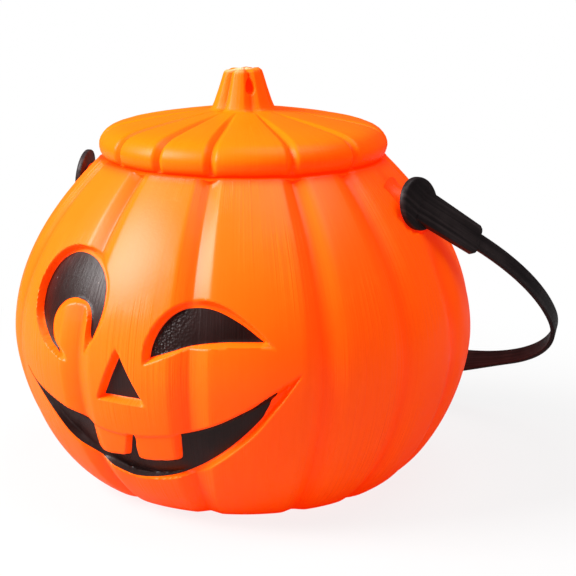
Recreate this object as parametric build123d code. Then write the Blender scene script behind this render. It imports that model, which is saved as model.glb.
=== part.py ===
"""Pumpkin candy pail: a blow-moulded pail and lid, a moulded swing handle and four painted face panels.

Millimetres, +Z up. The origin is the middle of the base on the pail's axis, and the face looks along -Y.
"""
import math
import os

from build123d import *

# Pail body
BELLY_RADIUS = 95.0
BELLY_HEIGHT = 64.0
BASE_RADIUS = 55.0
SEAT_RADIUS = 58.3
SEAT_HEIGHT = 134.7
MOUTH_RADIUS = 49.0
WALL = 1.8
BODY_GROOVE = 3.0
BOTTOM_FULLNESS = 1.7
BASE_RING_RADIUS = 40.0
BASE_RING_DEPTH = 2.0
# Groove bearings from the middle of the face, in degrees, the same on both sides
BODY_GROOVE_BEARINGS = [15.0, 46.5, 69.0, 90.0, 112.0, 134.0, 165.0]
lower_height_shares = [0.0, 0.08, 0.24, 0.45, 0.72, 1.0]
upper_height_shares = [0.3, 0.58, 0.8, 1.0]

# Face: recess depth, paint, and the place and size of each feature on the front.
# A feature's rise is its share of the seat's height.
RECESS_DEPTH = 3.4
PAINT_THICKNESS = 0.2
PAINT_CLEARANCE = 0.06
PAINT_MARGIN = 1.6
OPEN_EYE_X = -31.0
open_eye_rise_share = 0.644
OPEN_EYE_WIDTH = 39.0
OPEN_EYE_HEIGHT = 42.4
PUPIL_X = -28.6
PUPIL_WIDTH = 17.0
PUPIL_RISE = 1.9
NOSE_X = -2.8
nose_rise_share = 0.401
NOSE_WIDTH = 22.0
NOSE_HEIGHT = 22.0
WINK_X = 7.0
wink_rise_share = 0.524
WINK_WIDTH = 46.7
WINK_HEIGHT = 23.9
wink_corner_shares = [(0.0, 0.0), (1.0, 0.32)]
wink_lid_shares = [(0.07, 0.66), (0.43, 1.0), (0.77, 0.7)]
wink_low_share = (0.5, 0.28)
MOUTH_X = -55.7
mouth_rise_share = 0.1633
MOUTH_WIDTH = 116.9
MOUTH_HEIGHT = 46.3
mouth_corner_shares = [(0.0, 0.767), (1.0, 1.0)]
upper_lip_share = (0.485, 0.413)
lower_lip_share = (0.485, 0.0)
TOOTH_WIDTH = 17.0
TOOTH_GAP = 4.0
TOOTH_TIP_RISE = 9.0
TOOTH_SHIFT = -1.0
TOOTH_CORNER = 3.5

# Handle pivots on the shoulder
PIVOT_DROP = 13.7
PAD_STAND = 4.6
BOSS_RADIUS = 6.0
BOSS_LENGTH = 22.0
PEG_RADIUS = 2.5
PEG_CLEARANCE = 0.3
PEG_HEAD_RADIUS = 3.6
PEG_TIP_RADIUS = 2.0
PEG_HEAD_LENGTH = 2.4

# Handle
DISC_RADIUS = 10.4
DISC_THICKNESS = 2.6
DISC_EDGE = 0.6
DISC_CLEARANCE = 0.3
DISC_MARGIN = 0.7
HANDLE_DROOP = 40.0
ARM_FLARE = 33.0
ARM_LENGTH = 34.0
ARM_WIDTH = 11.4
ARM_THICKNESS = 4.2
STRAP_WIDTH = 7.0
STRAP_THICKNESS = 2.0
SIDE_RADIUS = 108.0
CORNER_RADIUS = 58.0
CORNER_TURN = 60.0
GRIP_WIDTH = 15.0
GRIP_HALF_LENGTH = 30.0
GRIP_TAPER = 54.0
GRIP_BLEND = 40.0

# Lid with its stem
LID_RADIUS = 58.8
LID_HEIGHT = 18.7
SKIRT_CLEARANCE = 0.5
SKIRT_DEPTH = 7.0
LID_FIRST_BEARING = -29.3
LID_LOBE_ANGLES = [22.5, 22.0, 31.0, 24.5, 26.0, 27.0, 26.0, 24.0, 31.0, 22.0, 22.5, 27.0, 27.0, 27.5]
# Height, radius and groove depth of each section of the crown
lid_section_shares = [
    (0.0, 0.964, 0.027),
    (0.246, 1.0, 0.034),
    (0.503, 0.963, 0.039),
    (0.663, 0.876, 0.051),
    (0.76, 0.779, 0.058),
    (0.83, 0.677, 0.058),
    (0.888, 0.571, 0.051),
    (0.93, 0.464, 0.041),
    (0.967, 0.357, 0.026),
    (1.0, 0.247, 0.014),
]
STEM_HEIGHT = 17.0
STEM_ROOT_RADIUS = 13.4
STEM_TOP_RADIUS = 7.4
STEM_SINK = 2.5
STEM_BORE_RADIUS = 8.0
STEM_FLUTES = 6
STEM_GROOVE = 1.2
STEM_TURN = 57.5
stem_height_shares = [0.0, 0.3, 0.65, 1.0]
stem_taper_shares = [1.0, 0.45, 0.18, 0.0]
STEM_HOLE_WIDTH = 4.8
STEM_HOLE_HEIGHT = 6.4
STEM_HOLE_Z = 9.0

# Every cut runs this far past what it cuts
OVERRUN = 5.0

FULL_TURN = 360.0
QUARTER_TURN = 90.0
PIVOT_HEIGHT = SEAT_HEIGHT - PIVOT_DROP


def body_radius(height):
    """Crest radius of the pail at a height: a full lower bowl and a parabolic shoulder."""
    if height <= BELLY_HEIGHT:
        rise = 1 - height / BELLY_HEIGHT
        swell = (1 - rise**BOTTOM_FULLNESS) ** (1 / BOTTOM_FULLNESS)
        return BASE_RADIUS + (BELLY_RADIUS - BASE_RADIUS) * swell
    rise = (height - BELLY_HEIGHT) / (SEAT_HEIGHT - BELLY_HEIGHT)
    return SEAT_RADIUS + (BELLY_RADIUS - SEAT_RADIUS) * (1 - rise**2)


def pad_offset():
    """Distance of each pivot's pad from the pail's axis."""
    return body_radius(PIVOT_HEIGHT) + PAD_STAND


def sunk_radius(height, depth):
    """Radius of the surface that lies a depth below the crest surface, measured square to it."""
    step = WALL / 10
    slope = (body_radius(height + step) - body_radius(height - step)) / (2 * step)
    return body_radius(height) - depth * math.hypot(1, slope)


def bearing_point(radius, bearing, height):
    """Point at a radius and a bearing from the front of the face."""
    turn = math.radians(bearing)
    return Vector(radius * math.sin(turn), -radius * math.cos(turn), height)


def lobed_wire(height, crest, groove, bearings):
    """Closed section with one arc for each lobe, from valley over crest to valley."""
    arcs = []
    for first, last in zip(bearings, bearings[1:] + [bearings[0] + FULL_TURN]):
        arcs.append(
            ThreePointArc(
                bearing_point(crest - groove, first, height),
                bearing_point(crest, (first + last) / 2, height),
                bearing_point(crest - groove, last, height),
            )
        )
    return Wire(arcs)


def body_bearings():
    """Bearings of all body grooves, in order round the pail."""
    return [-bearing for bearing in reversed(BODY_GROOVE_BEARINGS)] + BODY_GROOVE_BEARINGS


def section_heights():
    """Heights of the body's sections from base to seat."""
    lower = [share * BELLY_HEIGHT for share in lower_height_shares]
    upper = [BELLY_HEIGHT + share * (SEAT_HEIGHT - BELLY_HEIGHT) for share in upper_height_shares]
    return lower + upper


def body_skin():
    """Outer form of the pail, solid."""
    wires = [lobed_wire(z, body_radius(z), BODY_GROOVE, body_bearings()) for z in section_heights()]
    return Solid.make_loft(wires)


def body_hollow():
    """Inside of the pail, one wall in from the skin, closed at floor and seat and straight between its sections."""
    scale = (SEAT_HEIGHT - 2 * WALL) / SEAT_HEIGHT
    heights = [WALL + scale * z for z in section_heights()]
    wires = [lobed_wire(z, sunk_radius(z, WALL), BODY_GROOVE, body_bearings()) for z in heights]
    return Solid.make_loft(wires, ruled=True)


def sunk_core(depth):
    """Smooth turned core whose surface lies a depth below the crests."""
    heights = section_heights()[1:]
    rim = [(sunk_radius(z, depth), z) for z in heights]
    with BuildSketch(Plane.XZ) as half:
        with BuildLine():
            Spline(*rim)
            Polyline(rim[-1], (0, rim[-1][1]), (0, rim[0][1]), rim[0])
        make_face()
    return revolve(half.sketch, Axis.Z).solid()


def placed(share, x, z, width, height):
    """Point of an outline from its shares of the feature's box."""
    return (x + share[0] * width, z + share[1] * height)


def inset(face, margin):
    """Outline drawn in by a margin, or spread where the margin is negative."""
    return offset(face, -margin) if margin else face


def open_eye_outline(margin):
    """Round eye with a pupil that stands in it from below."""
    middle = open_eye_rise_share * SEAT_HEIGHT
    reach_x = OPEN_EYE_WIDTH / 2 - margin
    reach_z = OPEN_EYE_HEIGHT / 2 - margin
    rim = []
    for step in range(9):
        turn = math.radians(QUARTER_TURN / 2 * step)
        rim.append((OPEN_EYE_X + reach_x * math.cos(turn), middle + reach_z * math.sin(turn)))
    eye = make_face([ThreePointArc(*rim[start : start + 3]) for start in range(0, 8, 2)])
    pupil_radius = PUPIL_WIDTH / 2 + margin
    pupil_middle = middle + PUPIL_RISE - PUPIL_WIDTH / 2
    stalk = Rectangle(2 * pupil_radius, OPEN_EYE_HEIGHT, align=(Align.CENTER, Align.MAX))
    pupil = Location((PUPIL_X, pupil_middle)) * (stalk + Circle(pupil_radius))
    return eye - pupil


def nose_outline(margin):
    """Triangular nose."""
    base = nose_rise_share * SEAT_HEIGHT
    left = (NOSE_X - NOSE_WIDTH / 2, base)
    right = (NOSE_X + NOSE_WIDTH / 2, base)
    return inset(make_face(Polyline(left, right, (NOSE_X, base + NOSE_HEIGHT), close=True)), margin)


def wink_outline(margin):
    """Shut eye: a high lid over a gently bowed lower edge."""
    box = (WINK_X, wink_rise_share * SEAT_HEIGHT, WINK_WIDTH, WINK_HEIGHT)
    left, right = [placed(share, *box) for share in wink_corner_shares]
    lid = [placed(share, *box) for share in wink_lid_shares]
    edges = [
        ThreePointArc(left, lid[0], lid[1]),
        ThreePointArc(lid[1], lid[2], right),
        ThreePointArc(right, placed(wink_low_share, *box), left),
    ]
    return inset(make_face(edges), margin)


def mouth_outline(margin):
    """Crooked grin with two teeth hanging from the upper lip."""
    lowest = mouth_rise_share * SEAT_HEIGHT
    box = (MOUTH_X, lowest, MOUTH_WIDTH, MOUTH_HEIGHT)
    left, right = [placed(share, *box) for share in mouth_corner_shares]
    lips = [
        ThreePointArc(left, placed(upper_lip_share, *box), right),
        ThreePointArc(right, placed(lower_lip_share, *box), left),
    ]
    grin = inset(make_face(lips), margin)
    tooth = Rectangle(TOOTH_WIDTH + 2 * margin, MOUTH_HEIGHT, align=(Align.CENTER, Align.MIN))
    tooth = fillet(tooth.vertices().group_by(Axis.Y)[0], TOOTH_CORNER + margin)
    middle = placed(lower_lip_share, *box)[0] + TOOTH_SHIFT
    for side in (-1, 1):
        x = middle + side * (TOOTH_WIDTH + TOOTH_GAP) / 2
        grin -= Location((x, lowest + TOOTH_TIP_RISE - margin)) * tooth
    return grin


def face_outlines(margin):
    """Outline of each recessed feature, under the name of its paint."""
    return {
        "open_eye_paint": open_eye_outline(margin),
        "wink_eye_paint": wink_outline(margin),
        "nose_paint": nose_outline(margin),
        "mouth_paint": mouth_outline(margin),
    }


def front_prism(outline):
    """Outline pulled from the pail's axis through the front wall, along the mould's opening direction."""
    sketch = Plane(origin=(0, 0, 0), x_dir=(1, 0, 0), z_dir=(0, -1, 0)) * outline
    return extrude(sketch, BELLY_RADIUS + OVERRUN)


def x_rod(radius, start, end, side):
    """Round bar along X at the pivot height, between two distances from the pail's axis."""
    bar = Cylinder(radius, end - start, rotation=(0, QUARTER_TURN, 0))
    return Location((side * (start + end) / 2, 0, PIVOT_HEIGHT)) * bar


def pivot_seats(skin, hollow):
    """Skin and inside of the pail with a hollow boss, a flat pad and a peg hole on each side."""
    pad = pad_offset()
    spot_radius = DISC_RADIUS + DISC_MARGIN
    far = BELLY_RADIUS + OVERRUN
    for side in (-1, 1):
        skin += x_rod(BOSS_RADIUS, pad - BOSS_LENGTH, pad, side)
        skin -= x_rod(spot_radius, pad, far, side)
        hollow -= x_rod(spot_radius + WALL, pad - WALL, far, side)
        hollow += x_rod(BOSS_RADIUS - WALL, pad - BOSS_LENGTH, pad - WALL, side)
        skin -= x_rod(PEG_RADIUS + PEG_CLEARANCE, pad - BOSS_LENGTH, far, side)
    return skin, hollow


def pail_body():
    """Lobed shell with recessed face, ringed base, open mouth and two pivot bosses."""
    skin = body_skin()
    hollow = body_hollow()
    core = sunk_core(RECESS_DEPTH)
    backing = sunk_core(RECESS_DEPTH + WALL)
    for outline in face_outlines(0).values():
        skin -= front_prism(outline) - core
    for outline in face_outlines(-WALL).values():
        hollow -= front_prism(outline) - backing
    skin, hollow = pivot_seats(skin, hollow)
    skin -= Torus(BASE_RING_RADIUS, BASE_RING_DEPTH)
    hollow -= Torus(BASE_RING_RADIUS, BASE_RING_DEPTH + WALL)
    mouth = Cylinder(MOUTH_RADIUS, 2 * OVERRUN)
    return skin - hollow - Location((0, 0, SEAT_HEIGHT)) * mouth


def face_paint():
    """Thin coat of paint over the floor of each recess."""
    underside = RECESS_DEPTH - PAINT_CLEARANCE
    coat = sunk_core(underside - PAINT_THICKNESS) - sunk_core(underside)
    return {name: front_prism(outline) & coat for name, outline in face_outlines(PAINT_MARGIN).items()}


def lid_bearings():
    """Bearings of the lid's grooves, in order."""
    bearings = [LID_FIRST_BEARING]
    for angle in LID_LOBE_ANGLES[:-1]:
        bearings.append(bearings[-1] + angle)
    return bearings


def crown():
    """Lobed cushion of the lid."""
    wires = []
    for rise, reach, groove in lid_section_shares:
        height = SEAT_HEIGHT + rise * LID_HEIGHT
        wires.append(lobed_wire(height, reach * LID_RADIUS, groove * LID_RADIUS, lid_bearings()))
    return Solid.make_loft(wires)


def lid_room():
    """Turned room inside the lid, one wall in from its grooves."""
    room_height = LID_HEIGHT - 2 * WALL
    rim = []
    for rise, reach, groove in lid_section_shares:
        rim.append(((reach - groove) * LID_RADIUS - WALL, SEAT_HEIGHT + WALL + rise * room_height))
    with BuildSketch(Plane.XZ) as half:
        with BuildLine():
            Spline(*rim)
            Polyline(rim[-1], (0, rim[-1][1]), (0, rim[0][1]), rim[0])
        make_face()
    return revolve(half.sketch, Axis.Z).solid()


def stem(root, top, base, height):
    """Fluted stem that flares where it meets the lid."""
    bearings = [STEM_TURN + FULL_TURN * flute / STEM_FLUTES for flute in range(STEM_FLUTES)]
    wires = []
    for rise, taper in zip(stem_height_shares, stem_taper_shares):
        wires.append(lobed_wire(base + rise * height, top + taper * (root - top), STEM_GROOVE, bearings))
    return Solid.make_loft(wires)


def lid():
    """Hollow lid with its stem, a flat underside that rests on the seat, and a plug skirt in the mouth."""
    skirt_radius = MOUTH_RADIUS - SKIRT_CLEARANCE
    top = SEAT_HEIGHT + LID_HEIGHT
    stem_base = top - STEM_SINK
    stem_rise = STEM_HEIGHT + STEM_SINK
    hang = Align.CENTER, Align.CENTER, Align.MAX
    outside = crown()
    outside += stem(STEM_ROOT_RADIUS, STEM_TOP_RADIUS, stem_base, stem_rise)
    outside += Location((0, 0, SEAT_HEIGHT + WALL)) * Cylinder(skirt_radius, SKIRT_DEPTH + WALL, align=hang)
    shell = outside - lid_room()
    stem_tip_bore = STEM_TOP_RADIUS - STEM_GROOVE - WALL
    stem_room = Cone(STEM_BORE_RADIUS, stem_tip_bore, stem_rise, align=(Align.CENTER, Align.CENTER, Align.MIN))
    shell -= Location((0, 0, stem_base - WALL)) * stem_room
    bore_height = SKIRT_DEPTH + 2 * WALL + OVERRUN
    shell -= Location((0, 0, SEAT_HEIGHT + 2 * WALL)) * Cylinder(skirt_radius - WALL, bore_height, align=hang)
    hole = Plane(origin=(0, 0, top + STEM_HOLE_Z), x_dir=(1, 0, 0), z_dir=(0, -1, 0)) * Ellipse(
        STEM_HOLE_WIDTH / 2, STEM_HOLE_HEIGHT / 2
    )
    hole = extrude(hole, STEM_ROOT_RADIUS + OVERRUN).rotate(Axis.Z, STEM_TURN - FULL_TURN / STEM_FLUTES)
    return shell - hole


def handle_plane():
    """Plane of the handle's loop: X across, Y from the pivots towards the grip."""
    droop = math.radians(HANDLE_DROOP)
    return Plane(origin=(0, 0, PIVOT_HEIGHT), x_dir=(1, 0, 0), z_dir=(0, math.sin(droop), math.cos(droop)))


def arm_end():
    """End of the right arm's centreline in the loop's plane, from the middle of its disc."""
    flare = math.radians(ARM_FLARE)
    start = pad_offset() + DISC_CLEARANCE + DISC_THICKNESS / 2
    return Vector(start + ARM_LENGTH * math.sin(flare), ARM_LENGTH * math.cos(flare))


def polar(centre, radius, angle):
    """Point on a circle in the loop's plane."""
    return (centre.X + radius * math.cos(math.radians(angle)), centre.Y + radius * math.sin(math.radians(angle)))


def strap_side(shift):
    """One face of the strap: tangent arcs from the right arm round the grip to the left arm."""
    end = arm_end()
    side = Vector(*polar(end, SIDE_RADIUS, 2 * QUARTER_TURN - ARM_FLARE))
    corner = side + Vector(SIDE_RADIUS - CORNER_RADIUS, 0)
    grip_radius = CORNER_RADIUS + corner.X / math.cos(math.radians(CORNER_TURN))
    grip = Vector(0, corner.Y - corner.X * math.tan(math.radians(CORNER_TURN)))
    spans = [
        (side, SIDE_RADIUS + shift, -ARM_FLARE, 0),
        (corner, CORNER_RADIUS + shift, 0, CORNER_TURN),
        (grip, grip_radius + shift, CORNER_TURN, QUARTER_TURN),
    ]
    half = []
    for centre, radius, first, last in spans:
        points = [polar(centre, radius, angle) for angle in (first, (first + last) / 2, last)]
        half.append(points)
    mirrored = [[(-x, y) for x, y in reversed(points)] for points in reversed(half)]
    return half + mirrored


def strap():
    """Flat strap that widens to a grip in the middle."""
    outer = strap_side(STRAP_THICKNESS / 2)
    inner = strap_side(-STRAP_THICKNESS / 2)
    edges = [ThreePointArc(*points) for points in outer + inner]
    edges.append(Line(outer[0][0], inner[0][0]))
    edges.append(Line(outer[-1][-1], inner[-1][-1]))
    band = extrude(handle_plane() * make_face(edges), GRIP_WIDTH / 2, both=True)
    reach = arm_end().X + SIDE_RADIUS
    taper_end = GRIP_HALF_LENGTH + GRIP_TAPER
    rim = [
        (reach, STRAP_WIDTH / 2),
        (taper_end, STRAP_WIDTH / 2),
        (GRIP_HALF_LENGTH, GRIP_WIDTH / 2),
        (-GRIP_HALF_LENGTH, GRIP_WIDTH / 2),
        (-taper_end, STRAP_WIDTH / 2),
        (-reach, STRAP_WIDTH / 2),
    ]
    rim += [(x, -y) for x, y in reversed(rim)]
    widths = make_face(Polyline(*rim, close=True))
    bends = [v for v in widths.vertices() if abs(v.X) < reach - OVERRUN]
    widths = fillet(bends, GRIP_BLEND)
    plane = handle_plane()
    along = Plane(origin=plane.origin, x_dir=plane.x_dir, z_dir=plane.y_dir)
    return band & extrude(along * widths, 2 * reach)


def handle_end(side):
    """Disc, arm and snap peg at one end of the handle."""
    face = pad_offset() + DISC_CLEARANCE
    disc = x_rod(DISC_RADIUS, face, face + DISC_THICKNESS, side)
    rims = disc.edges().filter_by(GeomType.CIRCLE).sort_by(Axis.X)
    disc = fillet(rims[-1] if side > 0 else rims[0], DISC_EDGE)
    flare = math.radians(ARM_FLARE)
    end = arm_end()
    middle = Vector(end.X - ARM_LENGTH / 2 * math.sin(flare), end.Y - ARM_LENGTH / 2 * math.cos(flare))
    bar = Location((side * middle.X, middle.Y), -side * ARM_FLARE) * Rectangle(ARM_THICKNESS, ARM_LENGTH)
    arm = extrude(handle_plane() * bar, ARM_WIDTH / 2, both=True)
    arm -= x_rod(DISC_RADIUS + ARM_WIDTH, face - DISC_RADIUS, face, side)
    head = pad_offset() - WALL - PEG_CLEARANCE
    peg = x_rod(PEG_RADIUS, head, face, side)
    cap = Cone(PEG_HEAD_RADIUS, PEG_TIP_RADIUS, PEG_HEAD_LENGTH, rotation=(0, -side * QUARTER_TURN, 0))
    cap = Location((side * (head - PEG_HEAD_LENGTH / 2), 0, PIVOT_HEIGHT)) * cap
    return disc + arm + peg + cap


def handle():
    """One-piece swing handle."""
    return strap() + handle_end(1) + handle_end(-1)


def main():
    """Build every piece and write it out."""
    os.makedirs("parts", exist_ok=True)
    pieces = {"pail_body": pail_body(), "lid": lid(), "handle": handle()}
    pieces.update(face_paint())
    for name, shape in pieces.items():
        export_step(shape, f"parts/{name}.step")


if __name__ == "__main__":
    main()
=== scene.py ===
"""Pumpkin candy pail: its looks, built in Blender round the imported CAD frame.

Sizes are in millimetres and become metres where a mesh is made. +Z is up and the face looks along -Y.
"""
import logging
import math
from dataclasses import dataclass, field
from enum import Enum
from typing import Any, Callable, Optional, Sequence, Union

import bmesh
import bpy
import numpy as np
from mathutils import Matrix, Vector
from mathutils.bvhtree import BVHTree
from mathutils.geometry import delaunay_2d_cdt


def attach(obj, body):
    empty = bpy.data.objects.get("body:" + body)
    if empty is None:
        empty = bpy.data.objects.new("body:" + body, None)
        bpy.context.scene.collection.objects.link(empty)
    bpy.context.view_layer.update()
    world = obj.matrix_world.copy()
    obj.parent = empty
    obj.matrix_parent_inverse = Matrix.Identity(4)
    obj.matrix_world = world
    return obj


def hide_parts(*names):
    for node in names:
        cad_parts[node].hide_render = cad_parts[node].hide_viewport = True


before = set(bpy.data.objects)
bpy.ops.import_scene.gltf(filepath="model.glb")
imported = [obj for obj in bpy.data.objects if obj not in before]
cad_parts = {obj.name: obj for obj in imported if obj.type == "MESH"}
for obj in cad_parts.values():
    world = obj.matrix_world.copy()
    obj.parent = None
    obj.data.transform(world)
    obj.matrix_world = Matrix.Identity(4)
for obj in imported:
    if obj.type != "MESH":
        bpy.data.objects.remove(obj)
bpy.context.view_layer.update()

LOG = logging.getLogger("pail")
MM = 0.001
TINY = 1e-9
WELD_GAP = 1e-7
PHOTO_PIXELS = 576.0
BUMP_DISTANCE = 0.3 * MM
WHITE = (1.0, 1.0, 1.0, 1.0)
FEW_OCTAVES, SOME_OCTAVES, MANY_OCTAVES = 1.0, 3.0, 4.0

Colour = tuple[float, float, float, float]
Pair = tuple[float, float]
Triple = tuple[float, float, float]
Value = Union["Wire", float, Sequence[float]]


class Body(Enum):
    """Rigid bodies of the CAD frame."""

    PAIL = "pail"
    LID = "lid"
    HANDLE = "handle"


class Slot(Enum):
    """Material slots of the record."""

    PAIL = "pail_plastic"
    LID = "lid_plastic"
    PAINT = "face_paint"
    HANDLE = "handle_plastic"


class Side(Enum):
    """Side of a wall that a ring of a turned shell lies on."""

    OUTER = 1.0
    INNER = -1.0


def put(tree: bpy.types.NodeTree, slot: bpy.types.NodeSocket, value: Value) -> None:
    """Set or link one input socket.

    Args:
        tree: Tree that holds the socket.
        slot: Input socket.
        value: Wire to link, or a plain value.
    """
    if isinstance(value, Wire):
        tree.links.new(value.socket, slot)
    else:
        slot.default_value = value


class Wire:
    """Output socket that takes part in Python sums."""

    def __init__(self, tree: bpy.types.NodeTree, socket: bpy.types.NodeSocket) -> None:
        """Keep a socket and its tree."""
        self.tree = tree
        self.socket = socket

    def side(self, name: str) -> "Wire":
        """Another output of the same node."""
        return Wire(self.tree, self.socket.node.outputs[name])

    def _join(self, operation: str, *values: Value) -> "Wire":
        """Add one Math node.

        Args:
            operation: Operation of the node.
            values: Its inputs in order.

        Returns:
            The node's output.
        """
        made = self.tree.nodes.new("ShaderNodeMath")
        made.operation = operation
        for slot, value in zip(made.inputs, values):
            put(self.tree, slot, value)
        return Wire(self.tree, made.outputs[0])

    def __add__(self, other: Value) -> "Wire":
        """Sum."""
        return self._join("ADD", self, other)

    def __radd__(self, other: Value) -> "Wire":
        """Reflected sum."""
        return self._join("ADD", other, self)

    def __sub__(self, other: Value) -> "Wire":
        """Difference."""
        return self._join("SUBTRACT", self, other)

    def __rsub__(self, other: Value) -> "Wire":
        """Reflected difference."""
        return self._join("SUBTRACT", other, self)

    def __mul__(self, other: Value) -> "Wire":
        """Product."""
        return self._join("MULTIPLY", self, other)

    def __rmul__(self, other: Value) -> "Wire":
        """Reflected product."""
        return self._join("MULTIPLY", other, self)

    def __truediv__(self, other: Value) -> "Wire":
        """Quotient."""
        return self._join("DIVIDE", self, other)

    def __rtruediv__(self, other: Value) -> "Wire":
        """Reflected quotient."""
        return self._join("DIVIDE", other, self)

    def root(self) -> "Wire":
        """Square root."""
        return self._join("SQRT", self)

    def least(self, other: Value) -> "Wire":
        """The larger of this and a floor."""
        return self._join("MAXIMUM", self, other)

    def most(self, other: Value) -> "Wire":
        """The smaller of this and a ceiling."""
        return self._join("MINIMUM", self, other)


class Bench:
    """Adds nodes to one node tree."""

    def __init__(self, tree: bpy.types.NodeTree) -> None:
        """Keep the tree."""
        self.tree = tree

    def node(
        self,
        kind: str,
        settings: Optional[dict[str, Any]] = None,
        inputs: Optional[dict[Union[str, int], Value]] = None,
        output: Union[str, int] = 0,
    ) -> Optional[Wire]:
        """Add a node.

        Args:
            kind: Type of the node.
            settings: Its own properties, set first.
            inputs: Values or wires for its sockets.
            output: Output to return.

        Returns:
            The chosen output, or nothing where the node has none.
        """
        made = self.tree.nodes.new(kind)
        for name, value in (settings or {}).items():
            setattr(made, name, value)
        for key, value in (inputs or {}).items():
            put(self.tree, made.inputs[key], value)
        return Wire(self.tree, made.outputs[output]) if made.outputs else None

    def ease(self, value: Wire, low: float, high: float) -> Wire:
        """Smooth step of a value between two limits."""
        settings = {"interpolation_type": "SMOOTHSTEP"}
        return self.node("ShaderNodeMapRange", settings, {"Value": value, "From Min": low, "From Max": high})

    def blend(self, share: Value, first: Value, second: Value) -> Wire:
        """Mix of two colours."""
        settings = {"data_type": "RGBA"}
        return self.node("ShaderNodeMix", settings, {0: share, 6: first, 7: second}, 2)

    def vector(self, x: Value, y: Value, z: Value) -> Wire:
        """Vector of three values."""
        return self.node("ShaderNodeCombineXYZ", inputs={0: x, 1: y, 2: z})

    def noise(self, vector: Wire, scale: float, detail: float = 2.0, rough: float = 0.5) -> Wire:
        """Noise between 0 and 1."""
        inputs = {"Vector": vector, "Scale": scale, "Detail": detail, "Roughness": rough}
        return self.node("ShaderNodeTexNoise", inputs=inputs)

    def place(self) -> Wire:
        """Object coordinates."""
        return self.node("ShaderNodeTexCoord", output="Object")

    def split(self, vector: Wire) -> tuple[Wire, Wire, Wire]:
        """The three parts of a vector."""
        first = self.node("ShaderNodeSeparateXYZ", inputs={0: vector})
        return first, first.side("Y"), first.side("Z")

    def around(self, vector: Wire, turns: float, rises: float) -> Wire:
        """Coordinates that stretch along the pail's upright lines.

        Args:
            vector: Object coordinates.
            turns: Scale round the axis.
            rises: Scale along the axis.

        Returns:
            Coordinates for a noise.
        """
        x, y, z = self.split(vector)
        radius = (x * x + y * y).root().least(MM)
        return self.vector(x / radius * turns, y / radius * turns, z * rises)

    def attribute(self, name: str) -> Wire:
        """Number that the mesh keeps at each point."""
        return self.node("ShaderNodeAttribute", {"attribute_name": name}, output="Fac")

    def cells(self, vector: Wire, scale: float) -> Wire:
        """Distance from the nearest of many scattered spots."""
        return self.node("ShaderNodeTexVoronoi", {"feature": "F1"}, {"Vector": vector, "Scale": scale})

    def bump(self, height: Wire, strength: float) -> Wire:
        """Normal of a surface with a height pattern."""
        inputs = {"Strength": strength, "Distance": BUMP_DISTANCE, "Height": height}
        return self.node("ShaderNodeBump", inputs=inputs)

    @staticmethod
    def uneven(middle: float, *parts: tuple[Wire, float]) -> Wire:
        """Value that noises carry up and down.

        Args:
            middle: Value where every noise is at its mean.
            parts: Noises, and how far each carries the value in all.

        Returns:
            The value.
        """
        value = middle - sum(reach for _, reach in parts) / 2
        for noise, reach in parts:
            value = noise * reach + value
        return value


def open_material(name: str) -> tuple[bpy.types.Material, Bench]:
    """Make an empty node material.

    Args:
        name: Name of the material.

    Returns:
        The material and a bench on its tree.
    """
    material = bpy.data.materials.new(name)
    material.use_nodes = True
    material.node_tree.nodes.clear()
    return material, Bench(material.node_tree)


@dataclass(frozen=True)
class Finish:
    """Finish of a piece: plain values of the shader, and patterns that a kind of finish adds."""

    name: str
    main: Colour
    roughness: float
    specular: float
    ior: float = 1.5
    bump_strength: float = 0.5

    def patterns(self, bench: Bench) -> tuple[Wire, Wire, Wire]:
        """Colour, roughness and height over the surface."""
        raise NotImplementedError

    def constants(self) -> dict[str, Any]:
        """Values that are the same all over the surface."""
        return {"IOR": self.ior, "Specular IOR Level": self.specular}

    def make(self) -> bpy.types.Material:
        """Build the material.

        Returns:
            The material.
        """
        material, bench = open_material(self.name)
        colour, rough, height = self.patterns(bench)
        wires = {"Base Color": colour, "Roughness": rough, "Normal": bench.bump(height, self.bump_strength)}
        shader = bench.node("ShaderNodeBsdfPrincipled", inputs={**self.constants(), **wires})
        bench.node("ShaderNodeOutputMaterial", inputs={"Surface": shader})
        return material


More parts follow.
